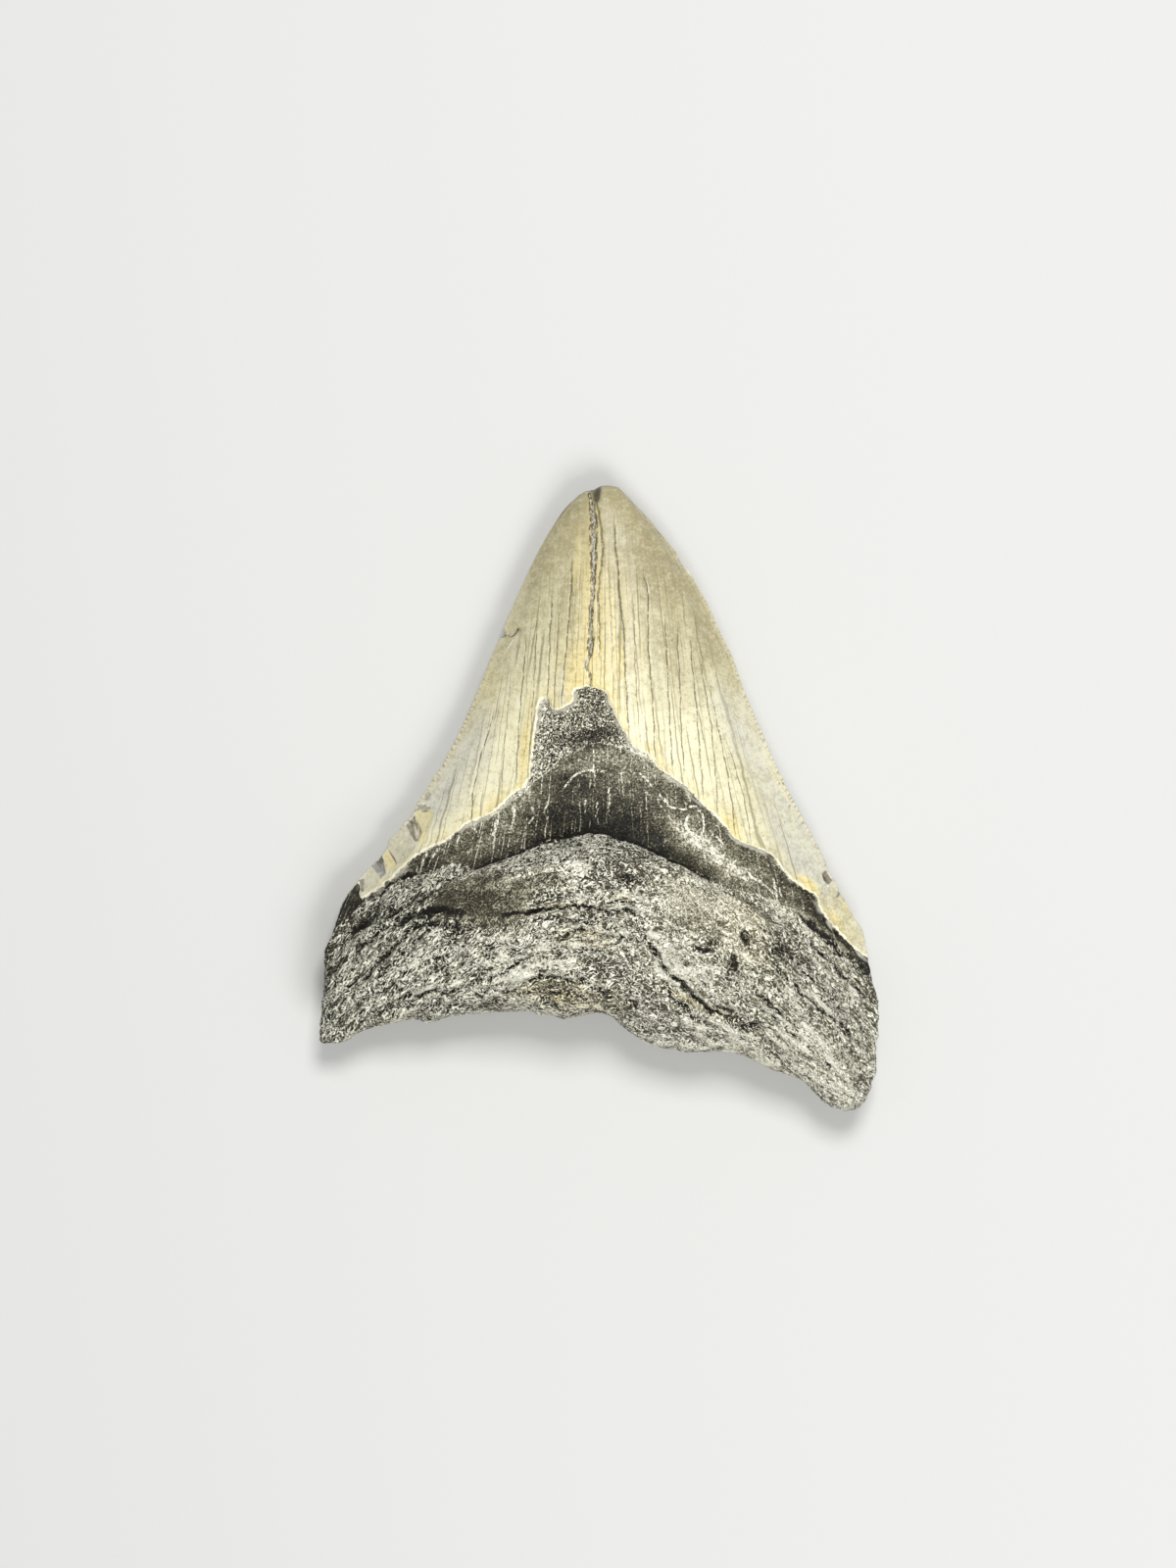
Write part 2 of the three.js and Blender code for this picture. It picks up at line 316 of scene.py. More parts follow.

# Soft patches that are paler or darker: X, Y, half width, half height, turn in degrees, and amount.
# Some of them paint light and shade: (-41.7, -24.0) and (-41.5, -27.8) are painted shade along the
# root's left edge, which faces away from the light; (-2.8, -3.0) is painted shade over the bourlette's
# lower middle, above the groove; (18.5, -9.3) and (19.0, -8.0) are a painted sheen on the bourlette's
# right; and (6.0, 38.0) and (9.5, 36.0) are painted shade on the tip's right side, where the key light
# falls.
PALE_PATCHES = [
    (-15.8, -16.2, 6.0, 4.4, 8, -0.45), (-7.5, -12.2, 5.0, 2.4, 8, -0.2),
    (-23.8, -18.0, 3.6, 2.4, 8, -0.75), (-33.0, -17.0, 6.0, 2.0, 32, -0.7),
    (-34.2, -21.3, 3.6, 1.7, 38, 0.6), (-34.5, -26.8, 6.0, 0.8, 40, -0.4),
    (-38.5, -29.5, 2.4, 4.4, -10, 0.15), (-22.8, -22.4, 3.6, 1.0, 14, 0.45),
    (-24.0, -27.6, 4.6, 1.6, 6, 0.45), (-14.0, -26.0, 4.0, 3.0, 15, 0.65),
    (-33.0, -18.6, 8.0, 4.0, 35, -0.2), (-4.5, -23.0, 6.5, 4.2, 0, 0.6),
    (-26.0, -32.4, 9.0, 1.2, 6, -0.35), (-16.5, -31.6, 4.0, 1.4, 0, -0.45),
    (-4.0, -31.4, 7.0, 1.4, 0, -0.1), (4.5, -10.9, 3.0, 2.4, -25, -0.85),
    (-1.0, -9.4, 2.6, 2.4, 0, 0.45), (13.0, -25.3, 2.8, 5.6, 36, 0.6),
    (5.0, -27.5, 6.0, 3.0, -45, -0.4), (10.0, -32.0, 4.6, 2.4, -40, -0.55),
    (19.0, -36.6, 6.5, 2.2, -18, 0.65), (31.5, -37.5, 9.0, 5.0, -38, 0.45),
    (37.5, -43.5, 4.0, 4.0, 0, 0.38), (28.7, -21.8, 2.6, 2.0, -40, -0.9),
    (30.5, -18.4, 5.6, 1.4, -38, 0.55), (41.9, -28.0, 1.2, 5.0, 0, -0.7),
    (-41.7, -24.0, 1.5, 9.0, 0, -1.0), (35.5, -28.0, 5.0, 1.8, -45, 0.4),
    (22.5, -29.5, 4.0, 1.4, -38, 0.4), (3.2, -14.4, 2.8, 0.8, 0, 0.8), (8.2, -20.4, 1.1, 2.4, 30, 0.7),
    (-4.0, -17.2, 5.0, 0.6, 4, -0.4), (19.8, -26.0, 1.4, 1.6, 0, -0.6),
    (24.0, -24.2, 4.0, 0.9, -38, 0.3), (-28.0, -13.6, 5.0, 1.0, 22, 0.25),
    (33.0, -33.4, 6.0, 0.9, -42, -0.35), (15.6, -22.4, 1.8, 0.7, -10, -0.5),
    (-2.8, -3.2, 9.0, 2.0, 0, -0.6), (0.0, 0.6, 9.0, 3.0, 0, -0.2), (8.0, -5.6, 5.0, 1.4, -24, -0.4),
    (-18.5, -7.0, 7.5, 2.0, 25, 0.4), (18.5, -9.3, 6.0, 1.4, -38, 0.9),
    (19.0, -8.0, 7.0, 2.4, -38, 0.2), (27.0, -12.4, 8.0, 1.6, -38, 0.12),
    (13.0, -5.4, 3.2, 1.8, -35, 0.75), (-2.5, 5.6, 6.0, 1.4, 6, 0.3), (-24.0, -9.0, 8.0, 0.9, 26, -0.3),
    (-0.3, 9.6, 4.8, 1.3, 8, -1.0), (-8.0, 7.5, 1.6, 4.5, 0, 0.1), (2.0, 14.0, 3.0, 2.0, 0, -0.15),
    (10.5, 8.0, 9.0, 7.0, 20, 0.65), (-14.0, 3.0, 4.0, 6.0, 20, 0.6),
    (-22.0, 9.5, 12.0, 2.2, 63, -0.75), (-19.0, 0.5, 8.0, 2.6, 40, 0.9), (0.0, 17.0, 9.0, 4.0, 0, 0.1),
    (14.0, 18.0, 5.0, 9.0, 22, -0.05), (6.0, 38.0, 4.0, 8.0, 20, -0.85),
    (27.0, -5.5, 6.0, 2.0, -50, 0.1), (17.0, 25.0, 9.0, 2.4, -65, -0.45),
    (-8.0, 36.0, 5.0, 5.0, 0, -0.15), (-33.0, -10.0, 6.0, 2.5, 45, -0.2),
    (-3.5, 33.0, 1.5, 9.0, 0, -0.2), (9.5, 36.0, 4.0, 5.0, 40, -0.9), (1.3, 20.2, 6.0, 5.0, 0, -0.45),
    (11.8, 20.2, 5.0, 6.0, 15, -0.5), (25.0, 0.0, 2.4, 8.0, 28, -0.4), (21.0, 17.2, 2.4, 9.0, 22, -0.6),
    (-29.0, -14.6, 8.0, 2.0, 25, -0.45), (37.0, -18.0, 2.6, 8.0, 32, -1.1),
    (10.3, -33.8, 5.0, 2.4, -35, 0.5), (21.6, -17.3, 4.0, 2.4, -35, 0.5),
    (31.3, -36.8, 6.0, 5.0, -38, 0.2), (-33.1, -21.8, 5.0, 4.0, 35, -0.3),
    (-1.6, -8.3, 7.0, 1.6, 0, -0.3), (-41.5, -27.8, 1.2, 7.0, 0, -0.4),
    (-41.0, -16.0, 3.0, 4.0, 0, -0.5), (-18.0, 3.5, 7.0, 5.0, 30, 0.5),
    (-33.0, -26.6, 6.0, 1.6, 38, -0.3), (-3.1, -27.8, 5.0, 2.5, 0, -0.2),
    (-4.6, 43.8, 0.9, 2.6, -28, -1.2), (-31.0, -21.0, 11.0, 7.0, 20, -0.16),
    (-34.0, -31.0, 6.0, 3.0, 20, -0.15), (-21.0, -14.5, 6.0, 3.0, 20, -0.25),
    (24.0, -30.0, 4.5, 1.2, -38, -0.5), (33.0, -28.0, 5.0, 1.2, -42, -0.4),
    (-9.0, 20.0, 2.0, 8.0, 0, 0.2),
]

# Worn patches of the root that are smooth and even
QUIET_PATCHES = [
    (-15.6, -15.8, 5.0, 4.0, 8, 2.0), (-21.5, -14.5, 5.0, 2.6, 20, 1.2),
    (-7.5, -12.0, 5.0, 2.2, 8, 0.8), (14.5, -16.2, 7.5, 4.2, -33, 1.3),
    (22.0, -23.0, 4.0, 2.4, -35, 0.6), (-16.0, -31.6, 5.0, 1.6, 0, 0.7),
    (-39.5, -17.5, 3.0, 4.0, 0, 0.6),
]

# Soft patches of yellow stain
OCHRE_PATCHES = [
    (21.5, -17.3, 5.5, 3.4, -35, 0.95), (22.0, -23.5, 5.5, 2.4, -25, 0.7),
    (-3.0, -30.5, 8.0, 2.6, -6, 0.8), (-8.5, -29.0, 4.0, 2.0, 0, 0.7), (-6.0, -15.9, 4.0, 0.6, 4, 0.9),
    (-26.0, -13.6, 2.4, 0.8, 15, 0.4), (13.5, -30.3, 3.6, 0.5, -32, 1.2),
    (19.0, -32.6, 3.0, 0.5, -30, 0.9), (-0.5, -20.9, 3.2, 1.4, 0, 0.9),
    (-32.0, -33.8, 8.0, 1.0, 12, 0.45), (3.0, -14.6, 2.4, 0.7, 0, 0.6), (-5.5, -20.4, 2.2, 1.4, 0, 0.5),
    (25.0, -40.0, 9.0, 0.9, -25, 0.4), (0.0, 24.0, 8.0, 12.0, 0, 0.6), (-11.4, 8.0, 1.5, 6.0, -4, 0.5),
    (-1.0, 20.0, 8.0, 4.0, 0, 0.5), (-15.9, 14.2, 3.4, 6.0, 15, 0.45), (-17.0, 20.0, 3.0, 5.0, 20, 0.3),
    (1.0, 34.0, 5.0, 9.0, 0, 0.35), (8.5, 10.0, 3.6, 6.0, 20, 0.5), (20.3, -4.2, 1.3, 3.4, 10, 0.7),
    (-16.0, -1.0, 4.0, 1.8, 35, 0.5), (32.0, -13.2, 2.2, 1.0, -38, 0.8), (17.0, 3.0, 3.0, 6.0, 12, 0.3),
    (-6.0, 42.0, 1.6, 2.6, 0, 0.4), (-3.0, 37.0, 1.6, 7.0, 0, 0.5), (13.5, 27.0, 3.2, 6.5, 20, 0.3),
    (36.5, -18.5, 2.2, 1.2, -50, 0.6), (25.2, -9.0, 2.0, 1.0, -30, 0.6),
    (27.5, 3.0, 6.0, 0.7, -64, 0.6), (38.0, -16.6, 2.0, 0.6, -60, 0.8),
    (7.0, -10.0, 5.0, 2.0, -25, 0.2),
]

# Long cracks of the enamel, from left to right: their points from the top down, and their darkness
LONG_CRACKS = [
    ([(-15.9, 14.2), (-16.6, 10.7), (-17.8, 7.4), (-18.6, 3.5), (-19.2, 0.7), (-19.3, -3.5)], 1.0),
    ([(-13.3, 20.2), (-13.8, 14.2), (-14.4, 8.2), (-14.8, -0.1)], 0.4),
    ([(-11.1, 26.2), (-11.2, 22.6), (-11.7, 17.2), (-12.2, 11.2), (-12.6, 2.2)], 0.75),
    ([(-9.4, 29.2), (-9.6, 23.2), (-9.9, 17.2), (-10.2, 12.7), (-10.5, 5.2)], 0.5),
    ([(-7.0, 32.3), (-7.2, 29.0), (-7.5, 25.0), (-7.6, 20.3), (-7.8, 15.4)], 0.85),
    ([(-5.6, 34.4), (-5.9, 29.2), (-6.3, 23.2), (-6.7, 17.2), (-6.8, 13.9)], 0.35),
    ([(-4.1, 37.4), (-4.2, 31.9), (-4.6, 27.2), (-4.9, 23.8), (-5.2, 20.3), (-5.4, 18.1),
      (-5.7, 14.2)], 0.95),
    ([(-2.7, 38.2), (-2.9, 32.2), (-3.1, 26.2), (-3.4, 20.2), (-3.6, 16.6)], 0.35),
    ([(1.3, 38.2), (1.6, 32.2), (1.9, 26.2), (2.1, 20.2), (2.2, 14.2)], 0.35),
    ([(2.4, 43.6), (2.5, 38.8), (3.0, 34.1), (3.1, 30.7), (3.6, 27.2), (3.9, 23.8), (3.9, 20.3),
      (4.2, 15.7), (4.5, 9.7)], 1.0),
    ([(5.1, 32.2), (5.4, 26.2), (5.5, 20.2), (5.8, 14.2), (6.3, 8.2)], 0.4),
    ([(6.5, 35.9), (6.9, 33.7), (7.4, 32.2), (7.5, 29.5), (7.5, 25.0), (7.6, 21.5), (7.9, 18.1),
      (8.2, 13.4), (8.5, 5.9)], 0.9),
    ([(9.9, 29.0), (10.2, 25.0), (10.3, 21.5), (10.5, 17.2), (10.8, 9.7), (11.2, 3.7)], 0.75),
    ([(12.0, 28.0), (12.0, 22.6), (12.3, 18.1), (12.4, 11.2), (12.9, 3.7)], 0.6),
    ([(13.8, 26.2), (14.2, 20.2), (14.8, 14.2), (15.4, 5.2), (15.8, 0.4)], 0.65),
    ([(15.1, 23.2), (16.1, 17.2), (17.1, 11.2), (17.7, 3.7), (18.0, -2.3)], 0.6),
    ([(16.6, 18.7), (17.8, 12.7), (19.3, 5.2), (20.2, -0.8), (20.6, -5.3)], 0.8),
    ([(18.6, 11.2), (20.6, 5.2), (22.1, -0.1), (23.1, -6.8)], 0.55),
]

# The wide filled crack from the tip, and the branch beside it: points from the top down
FILLED_CRACK = [
    (-1.6, 48.1), (-1.5, 47.2), (-1.2, 45.5), (-0.9, 43.3), (-0.8, 41.0), (-0.9, 38.8), (-0.8, 36.4),
    (-0.9, 34.1), (-0.9, 31.9), (-1.1, 29.5), (-1.3, 27.2), (-1.2, 25.0), (-1.3, 22.6), (-1.8, 20.3),
    (-1.3, 18.1), (-1.3, 16.6),
]
FILLED_CRACK_HALF_WIDTHS = [
    (48.1, 0.16), (46.0, 0.20), (43.8, 0.34), (41.0, 0.46), (38.0, 0.38), (35.0, 0.30), (31.0, 0.22),
    (27.0, 0.22), (24.0, 0.34), (22.5, 0.32), (20.5, 0.18), (16.6, 0.12),
]
BRANCH_CRACK = [
    (-0.7, 46.0), (-0.3, 44.9), (0.3, 41.5), (0.6, 37.6), (0.2, 34.4), (-0.1, 30.7), (0.0, 28.4),
    (0.1, 25.0), (0.1, 21.0),
]

# Small scoops at the cutting edges: X, Y, half length, half width, turn in degrees, and depth
CHIPS = [
    (-14.9, 25.0, 0.7, 0.4, 5, 0.35), (36.9, -14.6, 0.8, 0.35, 40, 0.4),
    (12.5, 36.5, 0.6, 0.3, -60, 0.3), (9.3, 40.9, 0.4, 0.3, -50, 0.25),
]

# Flat breaks at the cutting edges: corners in anticlockwise order, colour as it looks on a screen from
# 0 to 255, and depth
FACETS = [
    ([(-32.8, -7.2), (-30.9, -10.2), (-29.5, -9.6), (-28.0, -7.5), (-29.6, -4.1), (-30.6, -4.0)],
     (210, 205, 178), 0.15),
    ([(-28.2, -2.1), (-27.7, -6.9), (-26.6, -7.2), (-25.3, -2.8), (-25.3, -1.6)], (240, 228, 176), 0.1),
    ([(-29.6, -4.1), (-28.2, -6.6), (-27.6, -6.5), (-27.4, -5.2), (-28.3, -2.6)],
     (138, 134, 120), 0.55),
    ([(-28.4, -4.0), (-28.0, -6.2), (-27.7, -6.2), (-27.6, -5.3), (-28.2, -4.0)], (222, 212, 178), 0.1),
    ([(-28.0, -1.5), (-27.7, -1.85), (-26.3, -1.85), (-25.6, -1.5), (-27.3, -0.7)],
     (164, 161, 150), 0.35),
    ([(-26.8, -0.3), (-26.1, -0.4), (-25.6, 0.6), (-26.3, 1.1)], (176, 172, 152), 0.15),
    ([(-33.1, -8.6), (-32.8, -10.4), (-32.2, -11.2), (-31.5, -11.1), (-30.8, -10.2), (-32.3, -7.9)],
     (232, 218, 164), 0.1),
    ([(-34.9, -10.5), (-34.0, -11.5), (-33.4, -12.1), (-32.6, -11.5), (-32.8, -10.3), (-33.3, -8.8)],
     (148, 147, 143), 0.5),
    ([(-34.2, -9.7), (-33.6, -10.9), (-33.0, -9.6), (-33.3, -8.8)], (98, 95, 86), 0.1),
    ([(-36.4, -12.2), (-35.8, -13.8), (-35.1, -14.2), (-33.8, -13.2), (-34.0, -12.0), (-34.9, -10.5)],
     (214, 210, 184), 0.15),
    ([(-36.9, -12.6), (-36.4, -14.4), (-35.9, -14.2), (-36.0, -12.3)], (132, 128, 117), 0.3),
    ([(34.2, -11.6), (34.4, -12.6), (35.2, -13.3), (35.8, -12.6), (34.8, -11.0)], (112, 107, 94), 0.55),
    ([(-32.5, -7.6), (-31.6, -9.2), (-30.6, -10.6), (-31.3, -9.0)], (112, 103, 82), 0.1),
    ([(-30.4, -7.8), (-29.9, -8.8), (-29.6, -9.5), (-29.7, -8.7)], (158, 150, 124), 0.05),
    ([(37.0, -14.2), (36.2, -15.3), (36.7, -15.1), (37.2, -14.7)], (120, 114, 98), 0.2),
]
FACET_EDGE = 0.2

# Short marks at the edges of the enamel: their points, half width and darkness, which is negative for
# the light ones
EDGE_MARKS = [
    ([(-28.1, -1.75), (-26.7, -1.9), (-25.4, -1.55)], 0.16, 1.0),
    ([(-28.4, -2.9), (-27.8, -3.9), (-27.4, -4.9), (-27.6, -6.1), (-28.1, -6.7)], 0.17, 1.0),
    ([(-29.3, -3.3), (-28.8, -3.7), (-28.6, -4.4)], 0.3, 0.7),
    ([(-26.1, -4.9), (-26.2, -6.1), (-26.8, -7.3)], 0.13, 0.6),
    ([(-34.6, -10.6), (-34.0, -11.8), (-33.4, -12.3), (-32.8, -11.6)], 0.14, 0.6),
    ([(-35.9, -12.6), (-35.8, -13.6), (-35.9, -14.4)], 0.16, 0.6),
    ([(-30.4, -6.7), (-30.2, -7.0)], 0.2, -1.0),
    ([(-28.7, -7.1), (-28.3, -7.3)], 0.24, -1.0),
    ([(-34.9, -13.2), (-34.2, -14.0)], 0.12, 0.45),
    ([(23.7, 3.8), (24.1, 3.3)], 0.35, 0.42),
    ([(37.6, -18.2), (37.7, -19.3), (38.3, -20.3)], 0.12, -0.7),
    ([(38.9, -21.9), (39.6, -22.1), (40.4, -21.9)], 0.12, 0.5),
    ([(34.9, -10.7), (35.6, -11.8), (36.6, -13.2)], 0.16, -0.6),
    ([(-15.2, 24.9), (-14.3, 25.0), (-13.2, 24.8), (-12.2, 26.0), (-10.5, 27.2)], 0.14, 0.95),
    ([(-7.8, 40.6), (-5.9, 43.6), (-3.7, 46.0), (-1.8, 47.1)], 0.36, 0.6),
    ([(0.2, 47.9), (-0.2, 46.9), (-0.3, 46.0), (-0.5, 45.0)], 0.6, 1.0),
    ([(9.0, 41.7), (9.9, 40.5)], 0.25, 0.8),
    # A painted highlight along the tip's right edge
    ([(11.9, 37.4), (13.2, 35.7), (14.5, 33.6)], 0.2, -0.8),
    ([(33.5, -7.4), (32.4, -8.1)], 0.14, 0.7),
    ([(36.6, -14.9), (36.0, -15.7), (35.4, -16.0)], 0.2, 0.6),
    ([(34.5, -11.5), (34.9, -12.4), (35.4, -12.8)], 0.2, 0.8),
    ([(29.6, -0.9), (28.9, -1.5)], 0.3, 0.6),
    ([(28.6, 2.4), (27.4, 2.1)], 0.16, 0.8),
    ([(-27.5, -0.7), (-26.5, -1.0), (-25.9, -1.3)], 0.14, -1.0),
    ([(-28.0, -4.2), (-27.9, -5.6)], 0.2, -1.0),
    ([(-29.7, -5.0), (-29.3, -5.9)], 0.22, -0.9),
    ([(-33.9, -11.2), (-33.7, -11.6)], 0.2, -0.8),
    ([(34.9, -13.6), (35.7, -13.4)], 0.18, -1.2),
    ([(-12.9, 24.5), (-13.4, 23.6), (-14.1, 22.6)], 0.1, -1.0),
]

# Pale veins in the dark band
BAND_VEINS = [
    [(13.7, -2.3), (13.1, -4.1), (14.0, -5.5), (15.2, -5.8), (15.9, -4.7), (15.8, -2.6), (14.9, -1.2)],
    [(11.1, -1.2), (13.1, -1.5), (14.6, -0.9)],
    [(9.1, 0.6), (10.2, -0.3), (10.8, -1.2)],
    [(-5.2, 1.8), (-3.8, 3.5), (-1.5, 4.4), (0.9, 4.1)],
    [(-0.3, -0.6), (-0.4, -2.3), (-0.2, -4.1)],
    [(-2.0, -0.2), (-2.2, -2.4)],
    [(1.5, 1.5), (1.6, -0.6), (1.3, -2.7)],
    [(-10.2, -1.2), (-9.9, -2.6), (-10.5, -3.8)],
    [(-13.1, -1.2), (-12.8, -2.3), (-13.2, -3.8)],
    [(-15.9, -2.6), (-15.7, -4.2), (-16.3, -5.6)],
    [(-18.7, -3.0), (-19.0, -4.4), (-18.4, -5.6)],
    [(-21.4, -5.6), (-21.9, -7.0), (-21.6, -8.2)],
    [(-8.0, -0.6), (-8.3, -2.2), (-7.8, -3.4)],
    [(-24.8, -7.7), (-25.4, -8.8)],
    [(17.2, -5.2), (18.6, -6.6), (18.9, -7.8)],
    [(6.2, 3.9), (7.4, 2.8), (8.0, 1.6)],
    [(22.0, -10.4), (23.2, -11.7), (24.9, -12.9), (26.7, -14.2)],
    [(20.0, -10.0), (21.2, -11.3), (22.6, -12.4)],
]
BAND_VEIN_HALF_WIDTH = 0.22

# Serrations of the cutting edges, and the stretches along Y where wear has left them clear
SERRATION_PITCH = 0.82
SERRATION_DEPTH = 0.2
SERRATION_REACH = 0.8
SERRATION_RELIEF = 0.3
BEAD_SQUARENESS = 0.6
LEFT_SERRATIONS = [(-8, 0.15), (0, 0.8), (12, 0.9), (20, 0.35), (30, 0.2), (44, 0.05)]
RIGHT_SERRATIONS = [(-22, 0.15), (-12, 0.4), (-4, 0.9), (26, 1.0), (36, 0.55), (44, 0.1)]


# Lines and distances

def smooth_line(corners, steps=12):
    """A centripetal Catmull-Rom curve through the corners, as a row of points."""
    p = np.array(corners, float)
    p = np.vstack([2 * p[0] - p[1], p, 2 * p[-1] - p[-2]])
    share = np.linspace(0, 1, steps, endpoint=False)[:, None]
    runs = []
    for before, start, end, after in zip(p, p[1:], p[2:], p[3:]):
        t1 = np.linalg.norm(start - before) ** 0.5
        t2 = np.linalg.norm(end - start) ** 0.5
        t3 = np.linalg.norm(after - end) ** 0.5
        leave = t2 * ((start - before) / t1 - (end - before) / (t1 + t2) + (end - start) / t2)
        arrive = t2 * ((end - start) / t2 - (after - start) / (t2 + t3) + (after - end) / t3)
        cubic = 2 * start - 2 * end + leave + arrive
        square = -3 * start + 3 * end - 2 * leave - arrive
        runs.append(start + leave * share + square * share**2 + cubic * share**3)
    return np.vstack(runs + [p[-2:-1]])


def length_of(line):
    return np.linalg.norm(np.diff(line, axis=0), axis=1).sum()


def places_along(line, shares):
    """The points of a line at the given shares of its length."""
    steps = np.linalg.norm(np.diff(line, axis=0), axis=1)
    travelled = np.concatenate([[0], np.cumsum(steps)])
    return np.stack([np.interp(shares * travelled[-1], travelled, part) for part in line.T], axis=-1)


def y_on(line, x):
    """The line's Y at each X. The line runs from left to right."""
    return np.interp(x, line[:, 0], line[:, 1])


def x_on(line, y):
    """The line's X at each Y. The line runs upwards."""
    return np.interp(y, line[:, 1], line[:, 0])


def smooth(value, low, high):
    """0 below low, 1 above high, and an even curve between them."""
    share = np.clip((value - low) / (high - low), 0, 1)
    return share * share * (3 - 2 * share)


def mix(low, high, share):
    return low + (high - low) * share


def bump_at(value, middle, width):
    """1 at the middle, falling off over the width to either side."""
    return np.exp(-(((value - middle) / width) ** 2))


def taper(share, ends):
    """Narrows a line towards both of its ends. Past the share called ends it narrows no further."""
    return np.sqrt(np.sin(math.pi * np.clip(share, ends, 1 - ends)))


def distance_and_share(x, y, line):
    """How far each point is from a line, and the nearest place's share of the line's length."""
    best = np.full(x.shape, np.inf)
    best_share = np.zeros(x.shape)
    total = length_of(line)
    travelled = 0.0
    for (x0, y0), (x1, y1) in zip(line, line[1:]):
        dx = x1 - x0
        dy = y1 - y0
        length = math.hypot(dx, dy)
        share = np.clip(((x - x0) * dx + (y - y0) * dy) / (length * length), 0, 1)
        away = np.hypot(x - x0 - share * dx, y - y0 - share * dy)
        best_share = np.where(away < best, (travelled + share * length) / total, best_share)
        best = np.minimum(best, away)
        travelled += length
    return best, best_share


def distance_to(x, y, line):
    return distance_and_share(x, y, line)[0]


def above(x, y, line):
    """Distance from a line that crosses the whole tooth, positive on the tip's side of it."""
    left = line[0][0] - RING_MARGIN
    right = line[-1][0] + RING_MARGIN
    ring = [(left, line[0][1]), *map(tuple, line), (right, line[-1][1])]
    ring += [(right, RING_TOP_Y), (left, RING_TOP_Y)]
    inside = np.zeros(x.shape, bool)
    for (x0, y0), (x1, y1) in zip(ring, ring[1:] + ring[:1]):
        if y0 != y1:
            crosses = ((y0 > y) != (y1 > y)) & (x < (x1 - x0) * (y - y0) / (y1 - y0) + x0)
            inside ^= crosses
    return np.where(inside, 1, -1) * distance_to(x, y, line)


def below_torus_top(x, y):
    return y_on(smooth_line(TORUS_TOP), x) - y


def rough(x, y, z, size, octaves=2, seed=0):
    """Smooth noise of about -1 to 1, with lumps of the given size across, along and up."""
    wide, long, high = size
    shift = SEED_STEP * seed
    where = np.stack([x / wide + shift, y / long - shift, z / high + SEED_RISE * shift], axis=-1)
    return np.array([noise.fractal(Vector(place), 1.0, 2.0, octaves) for place in where.tolist()])


def in_oval(x, y, middle_x, middle_y, half_width, half_height, turn):
    """Places measured along the two axes of a turned oval, each in the oval's own half size."""
    cos = math.cos(math.radians(turn))
    sin = math.sin(math.radians(turn))
    across = ((x - middle_x) * cos + (y - middle_y) * sin) / half_width
    up = ((y - middle_y) * cos - (x - middle_x) * sin) / half_height
    return across, up


def patches(x, y, spots):
    """Adds up soft oval patches, each turned by its own angle."""
    total = np.zeros(x.shape)
    for *oval, amount in spots:
        across, up = in_oval(x, y, *oval)
        total += amount * np.exp(-(across**2 + up**2))
    return total


def along_fibres(x, y):
    """Height straightened so that the root's fibres run level. It takes arrays and shader sockets."""
    return y + x * x * FIBRE_BEND + x * FIBRE_LEAN


def fan_growth(y):
    """The power that the fan of streaks has grown to at this height, for arrays and shader sockets."""
    return (y - FAN_Y) * FAN_SPREAD


# The tooth's own shape, as the solid has it

def inside_outline(across, along):
    """X, Y and the tooth's width, at shares of the way across and of the way from root to tip."""
    arch = smooth_line(ROOT_ARCH)
    tip = smooth_line(TIP_EDGE)
    left = places_along(smooth_line(LEFT_SIDE), along)
    right = places_along(smooth_line(RIGHT_SIDE), along)
    lower = places_along(arch, across)
    upper = places_along(tip, across)
    across = across[:, None]
    along = along[:, None]
    from_sides = mix(left, right, across)
    from_ends = mix(lower, upper, along)
    from_corners = mix(mix(arch[0], arch[-1], across), mix(tip[0], tip[-1], across), along)
    place = from_sides + from_ends - from_corners
    width = np.linalg.norm(right - left, axis=1)
    return place[:, 0], place[:, 1], width


def from_cutting_edge(across, width):
    return np.minimum(across, 1 - across) * width * EDGE_LEAN


def edge_height(along):
    crown = mix(CUTTING_EDGE, TIP_EDGE_HEIGHT, along)
    return mix(ROOT_EDGE, crown, smooth(along, ROOT_EDGE_END, CUTTING_EDGE_START))


def fullness(across, along, power, roundness):
    """How full a section is: 0 on the outline and 1 in the middle of the tooth."""
    sides = np.clip(1 - np.abs(2 * across - 1) ** power, 0, 1) ** roundness
    lower_edge = np.sqrt(1 - (1 - np.clip(along / LOWER_EDGE_ROUNDING, 0, 1)) ** 2)
    tip = np.sqrt(1 - (1 - np.clip((1 - along) / TIP_ROUNDING, 0, 1)) ** 2)
    return sides * lower_edge * tip


def near_middle(x):
    return bump_at(x, 0, TORUS_HALF_WIDTH)


def root_share(x, y):
    """0 on the crown and 1 on the root, across the torus's flank."""
    flank = TORUS_FLANK + FLANK_AT_LOBES * (1 - near_middle(x))
    return smooth(below_torus_top(x, y), TORUS_START, TORUS_START + flank)


def lingual_height(across, along, x, y):
    below = below_torus_top(x, y)
    in_root = root_share(x, y)
    towards_tip = np.clip((y - CROWN_BASE_Y) / (TIP_Y - CROWN_BASE_Y), 0, 1)
    neck = NECK_DIP * bump_at(below, -NECK_PLACE, NECK_WIDTH) * near_middle(x)
    crown = mix(CROWN_BASE_CREST, CROWN_TIP_CREST, towards_tip**RIDGE_CURVE) - neck
    before_peak = np.clip(1 - below / TORUS_PEAK, 0, 1)
    past_peak = np.clip((below - TORUS_PEAK) / FALL_LENGTH, 0, None)
    torus = TORUS_CREST - RISE_TO_PEAK * before_peak**2 - FALL_BELOW_PEAK * past_peak**2
    root = mix(LOBE_CREST, torus, near_middle(x))
    power = mix(CROWN_POWER, ROOT_POWER, in_root)
    full = fullness(across, along, power, mix(CROWN_FULLNESS, ROOT_FULLNESS, in_root))
    return mix(edge_height(along), mix(crown, root, in_root), full)


